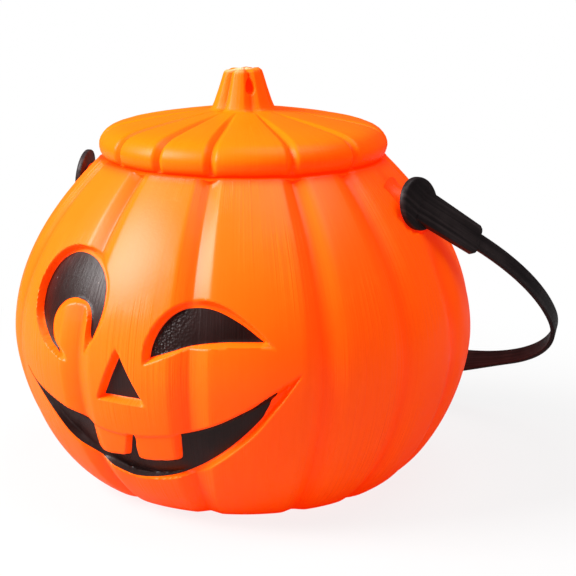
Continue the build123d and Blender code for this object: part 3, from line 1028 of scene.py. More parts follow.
@dataclass
class Pail:
    """Blow-moulded pail with its grooves, its sunk face and its pivot bosses."""

    finish: bpy.types.Material
    tree: bpy.types.NodeTree
    grooves: GrooveTree
    form: PailForm = PailForm()
    wall: float = 1.8
    groove: float = 2.5
    groove_width: float = 7.2
    bearings: tuple[float, ...] = (15.0, 46.5, 69.0, 90.0, 112.0, 134.0, 165.0)
    base_radii: tuple[float, ...] = (0.0, 10.0, 22.0, 32.0, 37.4)
    ring_radius: float = 40.0
    ring_depth: float = 2.0
    ring_steps: int = 7
    base_lift: float = 0.9
    foot: tuple[Pair, ...] = ((43.5, 0.0), (47.0, 0.1), (50.5, 0.4), (53.0, 0.8))
    foot_rings: int = 16
    foot_power: float = 1.7
    foot_share: float = 0.35
    foot_fade: float = 14.0
    shoulder_rings: int = 14
    lip: float = 0.8
    lip_steps: tuple[Triple, ...] = ((0.35, 0.25, 0.8), (1.0, 0.0, 0.5))
    lip_width: float = 5.0
    seat_edge: float = 4.0
    mouth_radius: float = 49.0
    mouth_round: float = 0.5
    mouth_under: float = 0.4
    inner_rings: int = 24
    inner_foot: float = 4.0
    floor_rings: tuple[Pair, ...] = (
        (57.5, 3.0), (52.0, 1.9), (45.0, 1.8), (42.0, 3.2), (40.0, 3.8), (38.0, 3.2), (35.0, 1.8), (20.0, 1.8),
        (0.0, 1.8),
    )
    recess: float = 3.8
    # Painted shade on the recess walls, strongest halfway down.
    recess_wall_shade: float = 0.2
    shoal: Triple = (-51.0, -30.0, 0.05)
    shoal_height: float = 62.0
    tooth_sink: float = 0.7
    tooth_blend: float = 1.2
    seam_reach: float = 3.6
    # Painted shadow: how strongly the band under the lid's rim is darkened.
    seam_shadow_strength: float = 1.5
    face_turns: Pair = (-44.0, 46.0)
    face_heights: Pair = (19.0, 110.0)
    face_margin: float = 3.0
    face_front: float = -30.0
    fine_turn: float = 0.34
    coarse_turn: float = 1.8
    fine_height: float = 0.56
    pivot_height: float = 121.0
    pad: float = 75.7
    spot_radius: float = 11.2
    spot_blend: float = 16.0
    spot_sink: float = 3.4
    boss_sink: float = 1.7
    boss_radius: float = 4.9
    boss_profile: tuple[Pair, ...] = (
        (-0.7, 0.0), (-0.2, 0.2), (0.0, 0.7), (0.3, 3.0), (1.0, 5.0), (2.4, 7.0), (4.6, 9.0),
    )
    boss_web: float = 0.3
    # Painted shade on the pivot bosses.
    boss_shade: float = 1.3
    bore_radius: float = 4.0
    bore_depth: float = 10.0
    hole_radius: float = 2.8
    sharp_angle: float = 50.0

    def columns(self) -> np.ndarray:
        """Bearings of the shell's columns, close together across the face."""
        low, high = self.face_turns
        fine = np.linspace(low, high, int((high - low) / self.fine_turn), endpoint=False)
        coarse = np.linspace(high, low + 360.0, int((360.0 - high + low) / self.coarse_turn), endpoint=False)
        return np.concatenate([fine, coarse])

    def wall_heights(self) -> np.ndarray:
        """Heights of the outer wall's rings, close together across the face."""
        low, high = self.face_heights
        foot = np.linspace(0.0, 1.0, self.foot_rings)[1:-1] ** self.foot_power * low
        face = np.linspace(low, high, int((high - low) / self.fine_height))
        shoulder = np.linspace(high, self.form.seat_height - self.lip, self.shoulder_rings)[1:]
        return np.concatenate([foot, face, shoulder])

    def width_at(self, radius: float) -> float:
        """Half width of the grooves at a radius."""
        return self.groove_width * radius / self.form.belly_radius

    def rings(self) -> Rings:
        """Rings from the middle of the base, over the wall and the seat, to the middle of the floor."""
        rings = Rings()
        seat, mouth, under = self.form.seat_height, self.mouth_radius, self.form.seat_height - self.wall
        for radius in self.base_radii:
            rings.add(radius, 0.0)
        for turn in np.radians(np.linspace(180.0, 0.0, self.ring_steps)):
            rings.add(self.ring_radius + self.ring_depth * math.cos(turn), self.ring_depth * math.sin(turn))
        for radius, share in self.foot:
            rings.add(radius, 0.0, self.base_lift * share, self.width_at(radius))
        for height in self.wall_heights():
            radius = float(self.form.radius(height))
            share = min(1.0, self.foot_share + height / self.foot_fade)
            rings.add(radius, height, self.groove * share, self.width_at(radius))
        edge = float(self.form.radius(seat - self.lip))
        for inward, down, share in self.lip_steps:
            rings.add(edge - inward, seat - down, self.groove * share, self.lip_width)
        for radius, height in (
            (edge - self.seat_edge, seat), (mouth + self.mouth_round, seat), (mouth, seat - self.mouth_round),
            (mouth, under + self.mouth_under), (mouth + self.mouth_under, under),
        ):
            rings.add(radius, height)
        for height in np.linspace(under, self.wall + self.inner_foot, self.inner_rings):
            radius = float(self.form.sunk(height, self.wall))
            rings.add(radius, height, self.groove, self.width_at(radius), 0, Side.INNER)
        for radius, height in self.floor_rings:
            rings.add(radius, height, side=Side.INNER)
        return rings

    def press_face(self, mesh: bpy.types.Mesh) -> None:
        """Sink the face into the shell along the mould's opening direction, and paint shade on its walls and under
        the lid.

        Args:
            mesh: Mesh of the grooved shell.
        """
        points = read_points(mesh)
        side = read_floats(mesh, "side")
        crease_shade = read_floats(mesh, "crease_shade")
        sink = np.zeros(len(points))
        low, high = self.face_heights[0] - self.face_margin, self.face_heights[1] + self.face_margin
        start, end, least = self.shoal
        front = (points[:, 1] < self.face_front) & (points[:, 2] > low) & (points[:, 2] < high)
        for sign, spread in ((Side.OUTER, 0.0), (Side.INNER, self.wall)):
            chosen = np.nonzero(front & (side == sign.value))[0]
            x, y, z = points[chosen].T
            ramp = np.max([feature.ramp(x, z, spread) for feature in FEATURES], axis=0)
            shoal = np.where(z < self.shoal_height, np.clip((x - start) / (end - start), least, 1.0), 1.0)
            floor = self.floor_y(x, z, self.recess * shoal + spread)
            teeth = self.tooth_sink * soft(-GRIN.distance(x, z) / self.tooth_blend) * (sign is Side.OUTER)
            lowered = y + teeth
            points[chosen, 1] = lowered + np.maximum(floor - lowered, 0.0) * ramp
            sink[chosen] = ramp
            crease_shade[chosen] *= 1.0 - ramp
        write_points(mesh, points)
        # Painted shadow in a band under the lid's rim, and painted shade on the recess walls; both darken the
        # colour.
        seam_shade = np.clip(1.0 - (self.form.seat_height - points[:, 2]) / self.seam_reach, 0.0, 1.0)
        crease_shade = np.maximum(crease_shade, seam_shade * (side == Side.OUTER.value) * self.seam_shadow_strength)
        floats(mesh, "crease_shade", np.maximum(crease_shade, 4.0 * sink * (1.0 - sink) * self.recess_wall_shade))

    def from_pivots(self, points: np.ndarray) -> np.ndarray:
        """Distance of points on the pail's sides from the hinge line, and a large one elsewhere."""
        away = np.hypot(points[:, 1], points[:, 2] - self.pivot_height)
        return np.where(np.abs(points[:, 0]) > self.mouth_radius, away, self.form.belly_radius)

    def face_spots(self, mesh: bpy.types.Mesh) -> None:
        """Flatten the wall under the handle's discs."""
        points = read_points(mesh)
        outer = read_floats(mesh, "side") == Side.OUTER.value
        chosen = outer & (self.from_pivots(points) < self.spot_radius)
        limit = self.pad - self.spot_sink
        points[chosen, 0] = np.clip(points[chosen, 0], -limit, limit)
        write_points(mesh, points)

    def floor_y(self, x: np.ndarray, z: np.ndarray, depth: Union[float, np.ndarray]) -> np.ndarray:
        """Place of a sunk surface along Y."""
        radius = self.form.sunk(z, depth)
        return -np.sqrt(np.clip(radius**2 - x**2, 0.0, None))

    def bosses(self) -> list[bpy.types.Object]:
        """Hollow pivot boss on each side."""
        pad, web = self.pad - self.boss_sink, self.boss_web
        stations = [
            (self.bore_radius, pad - self.bore_depth), (self.bore_radius, pad - web), (self.hole_radius, pad - web),
            (self.hole_radius, pad - web / 2), (self.hole_radius + web / 2, pad),
        ]
        stations += [(self.boss_radius + more, pad - down) for more, down in self.boss_profile]
        return [turned_x(f"boss_{side}", stations, side, self.pivot_height, closed=True) for side in (-1, 1)]

    def build(self) -> bpy.types.Object:
        """Make and dress the pail.

        Returns:
            The piece.
        """
        lines = np.array([-b for b in reversed(self.bearings)] + list(self.bearings))
        made = self.rings().shell("pail_shell", self.columns(), [lines])
        away = self.from_pivots(read_points(made.data))
        depth = read_floats(made.data, "groove_depth")
        floats(made.data, "groove_depth", depth * soft((away - self.spot_radius) / self.spot_blend))
        self.grooves.press(made, self.tree, self.finish)
        self.press_face(made.data)
        self.face_spots(made.data)
        for boss in self.bosses():
            boss.data.materials.append(self.finish)
            # Painted shade: the bosses are darkened so that they read as shadow beside the handle's discs.
            floats(boss.data, "crease_shade", np.full(len(boss.data.vertices), self.boss_shade))
            join(made, boss)
        smooth(made.data, self.sharp_angle)
        settle(made, Body.PAIL, "pail_body")
        return made


def turned_x(
    name: str, stations: Sequence[Pair], side: int, height: float, closed: bool = False, segments: int = 64
) -> bpy.types.Object:
    """Turn a profile about the handle's hinge line.

    Args:
        name: Name of the object.
        stations: Radius and distance from the pail's axis of each ring.
        side: -1 on the left, 1 on the right.
        height: Height of the hinge line.
        closed: Whether the last ring joins the first, as on a tube.
        segments: Points on each ring.

    Returns:
        The object.
    """
    turn = np.linspace(0.0, 2.0 * math.pi, segments, endpoint=False)
    rings = [
        np.stack([np.full(segments, side * place), radius * np.cos(turn), height + radius * np.sin(turn)], 1)
        for radius, place in stations
    ]
    return ring_object(name, np.array(rings), closed)


def ring_object(name: str, rings: np.ndarray, closed: bool = False) -> bpy.types.Object:
    """Skin a row of rings.

    Args:
        name: Name of the object.
        rings: Points of each ring, in millimetres.
        closed: Whether the last ring joins the first; open ends get caps.

    Returns:
        The object, with its faces turned outwards.
    """
    count, columns = rings.shape[:2]
    faces = []
    for row in range(count if closed else count - 1):
        here, there = row * columns, (row + 1) % count * columns
        for column in range(columns):
            after = (column + 1) % columns
            faces.append((here + column, here + after, there + after, there + column))
    if not closed:
        faces.append(tuple(range(columns))[::-1])
        faces.append(tuple(range((count - 1) * columns, count * columns)))
    made = mesh_object(name, rings.reshape(-1, 3), faces)
    face_outwards(made.data)
    return made


def join(main: bpy.types.Object, other: bpy.types.Object) -> None:
    """Put another object's mesh into the main one."""
    with bpy.context.temp_override(active_object=main, selected_editable_objects=[main, other]):
        bpy.ops.object.join()


@dataclass
class FacePaint:
    """Coats of paint on the floors of the sunk face."""

    finish: bpy.types.Material
    skin: BVHTree
    thickness: float = 0.2
    grid: float = 0.7
    stand_off: float = 130.0
    blur: float = 0.3
    inset: float = 0.2
    clear_edge: float = 0.45
    weld: float = 1e-5
    steep_fall: Pair = (0.6, 1.4)
    sharp_angle: float = 40.0

    def coat(self, feature: Feature) -> bpy.types.Object:
        """One coat.

        Args:
            feature: Recess that it lies in.

        Returns:
            Closed thin piece on the recess's floor.
        """
        loops = [feature.paint.curve() if feature.paint else feature.floor.grown(-self.inset)]
        loops += [part.grown(feature.draft + self.inset) for part in feature.standing]
        rim = loops[0]
        x, z = [grid.ravel() for grid in np.meshgrid(
            np.arange(rim[:, 0].min(), rim[:, 0].max(), self.grid),
            np.arange(rim[:, 1].min(), rim[:, 1].max(), self.grid),
        )]
        clear = self.inside(feature, x, z) < -self.clear_edge
        points = [Vector(point) for point in np.stack([x[clear], z[clear]], 1)]
        edges = []
        for loop in loops:
            start = len(points)
            points += [Vector(point) for point in loop]
            edges += [(start + step, start + (step + 1) % len(loop)) for step in range(len(loop))]
        flat, _, faces, *_ = delaunay_2d_cdt(points, edges, [], 0, self.weld)
        flat = np.array([tuple(point) for point in flat])
        faces = np.array(faces)
        middle = flat[faces].mean(1)
        faces = faces[self.inside(feature, middle[:, 0], middle[:, 1]) < 0.0]
        used, faces = np.unique(faces, return_inverse=True)
        return self.thicken(feature.node, flat[used], faces.reshape(-1, 3))

    def inside(self, feature: Feature, x: np.ndarray, z: np.ndarray) -> np.ndarray:
        """Signed distance from the painted floor's edge."""
        edge = feature.paint.distance(x, z) if feature.paint else feature.floor.distance(x, z) + self.inset
        for part in feature.standing:
            edge = np.maximum(edge, feature.draft + self.inset - part.distance(x, z))
        return edge

    def surface(self, x: float, z: float) -> tuple[float, float]:
        """Place of the pail's skin along Y, met from the front, and how steep it is there."""
        found = []
        for across, up in ((0.0, 0.0), (self.blur, 0.0), (-self.blur, 0.0), (0.0, self.blur), (0.0, -self.blur)):
            start = Vector((x + across, -self.stand_off, z + up)) * MM
            spot, *_ = self.skin.ray_cast(start, Vector((0.0, 1.0, 0.0)))
            found.append(spot.y / MM)
        fall = abs(found[3] - found[4]) / (2.0 * self.blur)
        return sum(found) / len(found), fall

    def thicken(self, node: str, flat: np.ndarray, faces: np.ndarray) -> bpy.types.Object:
        """Lay a flat sheet on the recess's floor and give it its thickness.

        Args:
            node: CAD node of the coat.
            flat: Places across and up.
            faces: Triangles between them.

        Returns:
            The object.
        """
        x, z = flat.T
        y, fall = np.array([self.surface(*point) for point in flat]).T
        top = np.stack([x, y - self.thickness, z], 1)
        low = np.stack([x, y + self.thickness, z], 1)
        count = len(flat)
        seen: dict[tuple[int, int], int] = {}
        for face in faces:
            for first, second in zip(face, np.roll(face, -1)):
                key = (min(first, second), max(first, second))
                seen[key] = seen.get(key, 0) + 1
        walls = [(a, b, b + count, a + count) for (a, b), times in seen.items() if times == 1]
        shell = [tuple(face) for face in faces] + [tuple(face[::-1] + count) for face in faces] + walls
        made = mesh_object(node.replace("paint", "coat"), np.concatenate([top, low]), shell)
        face_outwards(made.data)
        least, most = self.steep_fall
        floats(made.data, "steep", np.tile(soft((fall - least) / (most - least)), 2))
        smooth(made.data, self.sharp_angle)
        return made

    def build(self) -> None:
        """Make and dress every coat."""
        for feature in FEATURES:
            made = self.coat(feature)
            made.data.materials.append(self.finish)
            settle(made, Body.PAIL, feature.node)


@dataclass
class Lid:
    """Cushioned lid with its skirt and its fluted stem."""

    finish: bpy.types.Material
    tree: bpy.types.NodeTree
    grooves: GrooveTree
    seat: float = 134.7
    skirt_radius: float = 48.5
    skirt_depth: float = 7.0
    skirt_round: float = 0.4
    skirt_fillet: float = 0.3
    wall: float = 1.8
    groove_width: float = 2.1
    groove_share: float = 0.05
    first_bearing: float = -29.3
    lobe_angles: tuple[float, ...] = (
        22.5, 22.0, 31.0, 29.2, 34.0, 24.0, 21.0, 22.0, 28.3, 22.0, 22.5, 27.0, 27.0, 27.5,
    )
    ceiling: tuple[Pair, ...] = (
        (0.0, 15.6), (12.0, 15.6), (24.0, 14.9), (36.0, 13.4), (46.0, 11.4), (51.0, 9.4), (54.0, 6.6), (54.4, 4.0),
        (53.6, 2.4), (52.4, 1.9), (47.4, 1.8), (46.8, 1.4),
    )
    rim: tuple[Pair, ...] = ((52.0, 0.0), (55.6, 0.0), (56.3, 0.2))
    crown: tuple[Triple, ...] = (
        (56.7, 0.5, 1.2), (57.7, 1.6, 1.6), (58.4, 3.0, 1.9), (58.8, 4.8, 2.1), (58.7, 6.2, 2.2), (58.2, 7.7, 2.2),
        (57.3, 9.1, 2.2), (56.1, 10.4, 2.1), (54.5, 11.5, 2.0), (52.4, 12.4, 1.9), (49.8, 13.2, 1.8),
        (46.6, 13.9, 1.7), (43.0, 14.6, 1.6), (39.0, 15.3, 1.5), (35.0, 15.95, 1.4), (31.0, 16.55, 1.3),
        (27.5, 17.1, 1.0), (24.2, 17.55, 0.7), (20.8, 18.0, 0.35), (17.6, 18.4, 0.1), (15.2, 18.7, 0.0),
    )
    stem: tuple[Triple, ...] = (
        (14.0, 18.95, 0.2), (13.3, 19.3, 0.7), (12.7, 20.0, 1.2), (12.15, 21.2, 1.5), (11.6, 22.6, 1.65),
        (11.05, 24.2, 1.7), (10.5, 25.8, 1.7), (9.95, 27.4, 1.65), (9.45, 29.0, 1.6), (8.95, 30.6, 1.55),
        (8.5, 32.1, 1.45), (8.1, 33.3, 1.35), (7.8, 34.0, 1.2), (7.5, 34.5, 1.0), (6.9, 34.85, 0.7),
        (5.6, 34.9, 0.4), (4.6, 34.8, 0.2), (3.6, 34.75, 0.0), (2.8, 34.7, 0.0), (1.8, 34.7, 0.0), (0.9, 34.6, 0.0),
        (0.0, 34.6, 0.0),
    )
    flutes: int = 6
    flute_turn: float = 45.0
    flute_width: float = 0.25
    flute_least: float = 0.4
    stem_side: float = 33.2
    stem_fine: int = 3
    stem_front: float = 2.0
    stem_heights: Pair = (20.0, 34.4)
    hole_height: float = 28.6
    hole_size: Pair = (2.2, 3.0)
    hole_depth: float = 2.2
    hole_pinch: Triple = (0.18, 0.5, 1.1)
    hole_edge: Pair = (1.1, 0.25)
    slit_half: float = 0.3
    slit_share: float = 0.2
    tip_height: float = 33.8
    tip_blend: float = 0.9
    torn_waves: tuple[int, ...] = (3, 5, 8, 13)
    torn_reach: Pair = (0.06, 0.16)
    torn_phase: float = 6.0
    torn_span: Pair = (-0.4, 0.3)
    # How strongly the torn tip's ridge and waves show the painted highlight.
    tip_highlight_show: Pair = (1.6, 2.0)
    ridge_place: Pair = (1.5, -1.0)
    ridge_spread: Pair = (1.6, 3.4)
    ridge_height: float = 1.0
    tip_half: float = 8.0
    tip_lean: float = 0.35
    tallest: float = 35.62
    seam_height: float = 0.4
    seam_reach: float = 3.2
    # Painted shade in the stem's hole and along the lid's lower edge.
    hole_and_rim_shade: float = 1.5
    turn_step: float = 0.75
    sharp_angle: float = 50.0
    seed: int = 11

    def rings(self) -> Rings:
        """Rings from the middle of the ceiling, round the skirt and the crown, to the stem's tip."""
        rings = Rings()
        seat, soft_edge, fillet = self.seat, self.skirt_round, self.skirt_fillet
        inner, outer, foot = self.skirt_radius - self.wall, self.skirt_radius, seat - self.skirt_depth
        skirt = (
            (inner, seat), (inner, foot + soft_edge), (inner + soft_edge, foot), (outer - soft_edge, foot),
            (outer, foot + soft_edge), (outer, seat - fillet), (outer + fillet, seat),
        )
        for radius, height in self.ceiling:
            rings.add(radius, seat + height)
        for radius, height in skirt:
            rings.add(radius, height)
        for radius, height in self.rim:
            rings.add(radius, seat + height)
        for radius, height, depth in self.crown:
            rings.add(radius, seat + height, depth, min(self.groove_width, radius * self.groove_share))
        for radius, height, depth in self.fine_stem():
            rings.add(radius, seat + height, depth, max(radius * self.flute_width, self.flute_least), 1)
        return rings

    def fine_stem(self) -> np.ndarray:
        """Stem's profile with close rings along its side."""
        given = np.array(self.stem)
        side = int(np.argmax(given[:, 1] > self.stem_side))
        along = np.linspace(0.0, side, side * self.stem_fine + 1)
        fine = np.stack([np.interp(along, np.arange(side + 1), column[: side + 1]) for column in given.T], 1)
        return np.concatenate([fine, given[side + 1 :]])

    def hole(self, across: np.ndarray, toward: np.ndarray, height: np.ndarray) -> np.ndarray:
        """Share of the hole's depth at each place on the stem.

        Args:
            across: Places across the hole.
            toward: Places towards the hole's side of the stem.
            height: Heights over the seat.

        Returns:
            1 in the hole, less in the slit over it and 0 elsewhere.
        """
        half, tall = self.hole_size
        slope, narrow, broad = self.hole_pinch
        edge, blend = self.hole_edge
        low, high = self.stem_heights
        rise = (height - self.hole_height) / tall
        away = np.hypot(across / (half * np.clip(1.0 - slope * (rise + 1.0), narrow, broad)), rise)
        slit = (np.abs(across) < self.slit_half) & (height > self.hole_height)
        chosen = (toward > self.stem_front) & (height > low) & (height < high)
        return np.where(chosen, np.maximum(soft((edge - away) / blend), slit * self.slit_share), 0.0)

    def pierce(self, mesh: bpy.types.Mesh) -> None:
        """Sink the hole into the stem, roughen the torn tip, paint shade in the hole and along the lid's lower edge,
        and paint a highlight on the tip.

        Args:
            mesh: Mesh of the grooved lid.
        """
        points = read_points(mesh)
        crease_shade = read_floats(mesh, "crease_shade")
        face = np.radians(self.flute_turn)
        x, y, z = points.T
        height = z - self.seat
        across = x * np.cos(face) + y * np.sin(face)
        toward = x * np.sin(face) - y * np.cos(face)
        share = self.hole(across, toward, height)
        points[:, 0] -= np.sin(face) * share * self.hole_depth
        points[:, 1] += np.cos(face) * share * self.hole_depth
        tip = np.clip((height - self.tip_height) / self.tip_blend, 0.0, 1.0)
        draw = np.random.default_rng(self.seed)
        bearing = np.arctan2(x, -y)
        torn = np.zeros(len(points))
        for wave in self.torn_waves:
            torn += draw.uniform(*self.torn_reach) * np.sin(wave * bearing + draw.uniform(0.0, self.torn_phase))
        far = (toward - self.ridge_place[0]) / self.ridge_spread[0]
        wide = (across - self.ridge_place[1]) / self.ridge_spread[1]
        ridge = np.exp(-(far**2) - wide**2)
        lean = np.clip(across / self.tip_half, -1.0, 1.0) * self.tip_lean
        points[:, 2] += tip * (np.clip(torn, *self.torn_span) + ridge * self.ridge_height + lean)
        points[:, 2] = np.minimum(points[:, 2], self.seat + self.tallest)
        write_points(mesh, points)
        # Painted shade: darken the hole and a band at the lid's lower edge.
        seam_shade = np.clip(1.0 - np.abs(height - self.seam_height) / self.seam_reach, 0.0, 1.0)
        seam_shade *= np.hypot(x, y) > self.skirt_radius
        floats(mesh, "crease_shade", np.maximum(crease_shade, np.maximum(share, seam_shade) * self.hole_and_rim_shade))
        # Painted highlight: pale colour on the raised parts of the torn tip.
        ridge_show, tip_highlight_show = self.tip_highlight_show
        floats(mesh, "torn", tip * np.clip(ridge * ridge_show + torn * tip_highlight_show - lean, 0.0, 1.0))

    def build(self) -> bpy.types.Object:
        """Make and dress the lid.

        Returns:
            The piece.
        """
        lobes = self.first_bearing + np.concatenate([[0.0], np.cumsum(self.lobe_angles[:-1])])
        flutes = self.flute_turn + np.arange(self.flutes) * 360.0 / self.flutes
        columns = np.arange(-180.0, 180.0, self.turn_step)
        made = self.rings().shell("lid_shell", columns, [lobes, flutes])
        self.grooves.press(made, self.tree, self.finish)
        self.pierce(made.data)
        smooth(made.data, self.sharp_angle)
        settle(made, Body.LID, "lid")
        return made


@dataclass
class Handle:
    """One-piece swing handle: discs, arms, strap and snap pegs."""

    finish: bpy.types.Material
    pivot_height: float = 121.0
    face: float = 76.0
    disc_radius: float = 10.4
    disc_thickness: float = 2.6
    disc_core: float = 0.6
    disc_crown: float = 0.15
    disc_back: tuple[Pair, ...] = ((0.5, 0.0), (0.15, 0.15), (0.0, 0.5))
    disc_front: tuple[Pair, ...] = ((0.0, 0.9), (0.15, 0.45), (0.5, 0.15), (1.1, 0.0), (4.0, -0.1))
    lean: Pair = (15.0, 9.0)
    droop: float = 40.0
    flare: float = 33.0
    arm_length: float = 34.0
    arm_stations: tuple[Triple, ...] = (
        (0.0, 1.3, 7.1), (4.0, 1.5, 7.0), (9.0, 1.6, 6.9), (13.0, 1.6, 6.8), (20.0, 1.55, 6.65), (27.0, 1.5, 6.5),
        (30.4, 1.5, 6.4), (31.6, 1.45, 5.6), (32.0, 1.3, 4.9),
    )
    arm_round: float = 0.55
    strap_width: float = 7.0
    strap_thickness: float = 2.0
    strap_round: float = 0.5
    strap_lead: float = 6.0
    side_radius: float = 108.0
    corner_radius: float = 58.0
    corner_turn: float = 60.0
    grip_width: float = 15.0
    grip_half: float = 30.0
    grip_end: float = 84.0
    peg_radius: float = 2.5
    peg_root: float = 1.0
    peg_segments: int = 32
    head: float = 73.6
    head_profile: tuple[Pair, ...] = ((3.6, 0.0), (3.2, 0.6), (2.0, 2.4))
    sharp_angle: float = 40.0

    def lift(self, flat: np.ndarray, off: np.ndarray) -> np.ndarray:
        """Place points of the loop's plane in space.

        Args:
            flat: Places across and along the loop.
            off: Distances from the loop's plane.

        Returns:
            Points in millimetres.
        """
        droop = math.radians(self.droop)
        x, s = flat[..., 0], flat[..., 1]
        y = s * math.cos(droop) + off * math.sin(droop)
        z = self.pivot_height - s * math.sin(droop) + off * math.cos(droop)
        return np.stack([x, y, z], -1)

    def arm_line(self) -> tuple[np.ndarray, np.ndarray]:
        """Start and direction of the right arm in the loop's plane."""
        flare = math.radians(self.flare)
        return np.array([self.face + self.disc_thickness / 2, 0.0]), np.array([math.sin(flare), math.cos(flare)])

    def centreline(self, count: int = 56) -> tuple[np.ndarray, np.ndarray]:
        """Right half of the strap's middle line, from the arm to the grip.

        Args:
            count: Points on each arc.

        Returns:
            Points in the loop's plane and their outward normals.
        """
        start, along = self.arm_line()
        end = start + along * self.arm_length
        flare, turn = math.radians(self.flare), math.radians(self.corner_turn)
        side = end + self.side_radius * np.array([-math.cos(flare), math.sin(flare)])
        corner = side + np.array([self.side_radius - self.corner_radius, 0.0])
        grip = np.array([0.0, corner[1] - corner[0] * math.tan(turn)])
        grip_radius = self.corner_radius + corner[0] / math.cos(turn)
        lead = self.strap_lead / self.side_radius
        spans = (
            (side, self.side_radius, -flare - lead, 0.0),
            (corner, self.corner_radius, 0.0, turn),
            (grip, grip_radius, turn, math.pi / 2),
        )
        rows, normals = [], []
        for centre, radius, first, last in spans:
            angle = np.linspace(first, last, count)[: None if last == math.pi / 2 else -1]
            normal = np.stack([np.cos(angle), np.sin(angle)], 1)
            rows.append(centre + radius * normal)
            normals.append(normal)
        return np.concatenate(rows), np.concatenate(normals)

    @staticmethod
    def section(half_thick: np.ndarray, half_wide: np.ndarray, corner: float, steps: int = 5) -> np.ndarray:
        """Rounded rectangles.

        Args:
            half_thick: Half thickness of each ring.
            half_wide: Half width of each ring.
            corner: Radius of the corners.
            steps: Points on each corner.

        Returns:
            Offsets across the thickness and the width of each ring's points.
        """
        rows = []
        for quarter, (out, up) in enumerate(((1.0, 1.0), (-1.0, 1.0), (-1.0, -1.0), (1.0, -1.0))):
            for angle in np.linspace(quarter * math.pi / 2, (quarter + 1) * math.pi / 2, steps):
                thick = out * (half_thick - corner) + corner * math.cos(angle)
                wide = up * (half_wide - corner) + corner * math.sin(angle)
                rows.append(np.stack([thick, wide], -1))
        return np.stack(rows, 1)

    def strap(self) -> bpy.types.Object:
        """Flat strap that widens to a grip."""
        right, outward = self.centreline()
        line = np.concatenate([right, (right * [-1.0, 1.0])[-2::-1]])
        normal = np.concatenate([outward, (outward * [-1.0, 1.0])[-2::-1]])
        share = soft((self.grip_end - np.abs(line[:, 0])) / (self.grip_end - self.grip_half))
        wide = (self.strap_width + (self.grip_width - self.strap_width) * share) / 2
        thick = np.full(len(line), self.strap_thickness / 2)
        section = self.section(thick, wide, self.strap_round)
        flat = line[:, None, :] + section[..., :1] * normal[:, None, :]
        return ring_object("strap", self.lift(flat, section[..., 1]))

    def arm(self, side: int) -> bpy.types.Object:
        """Thick arm between a disc and the strap."""
        start, along = self.arm_line()
        across = np.array([along[1], -along[0]])
        reach, thick, wide = np.array(self.arm_stations).T
        section = self.section(thick, wide, self.arm_round)
        flat = (start + reach[:, None] * along)[:, None, :] + section[..., :1] * across
        flat[..., 0] *= side
        return ring_object(f"arm_{side}", self.lift(flat, section[..., 1]))

    def disc(self, side: int) -> bpy.types.Object:
        """Round end that covers a pivot."""
        radius, back, front = self.disc_radius, self.face, self.face + self.disc_thickness
        stations = [(self.disc_core, back)]
        stations += [(radius - inset, back + rise) for inset, rise in self.disc_back]
        stations += [(radius - inset, front - drop) for inset, drop in self.disc_front]
        stations.append((self.disc_core, front + self.disc_crown))
        made = turned_x(f"disc_{side}", stations, side, self.pivot_height)
        points = read_points(made.data)
        turned, tipped = [math.tan(math.radians(angle)) for angle in self.lean]
        points[:, 0] += side * (points[:, 1] * turned - (points[:, 2] - self.pivot_height) * tipped)
        write_points(made.data, points)
        return made

    def peg(self, side: int) -> bpy.types.Object:
        """Snap peg with its headed tip."""
        stations = [(self.peg_radius, self.face + self.peg_root), (self.peg_radius, self.head)]
        stations += [(radius, self.head - down) for radius, down in self.head_profile]
        return turned_x(f"peg_{side}", stations, side, self.pivot_height, segments=self.peg_segments)

    def build(self) -> bpy.types.Object:
        """Make and dress the handle.

        Returns:
            The piece.
        """
        made = self.strap()
        made.name = "handle_loop"
        for side in (-1, 1):
            for part in (self.arm(side), self.disc(side), self.peg(side)):
                fuse(made, part)
        made.data.materials.clear()
        made.data.materials.append(self.finish)
        smooth(made.data, self.sharp_angle)
        settle(made, Body.HANDLE, "handle")
        return made


def fuse(main: bpy.types.Object, other: bpy.types.Object) -> None:
    """Unite another closed shape with the main one and remove it."""
    modifier = main.modifiers.new("fuse", "BOOLEAN")
    modifier.operation = "UNION"
    modifier.solver = "EXACT"
    modifier.object = other
    bake(main)
    bpy.data.objects.remove(other)


@dataclass(frozen=True)
class Softbox:
    """Square lamp: bearing from the front and elevation in degrees, distance and side in metres, and power."""

    name: str
    azimuth: float
    elevation: float
    distance: float
    size: float
    watts: float


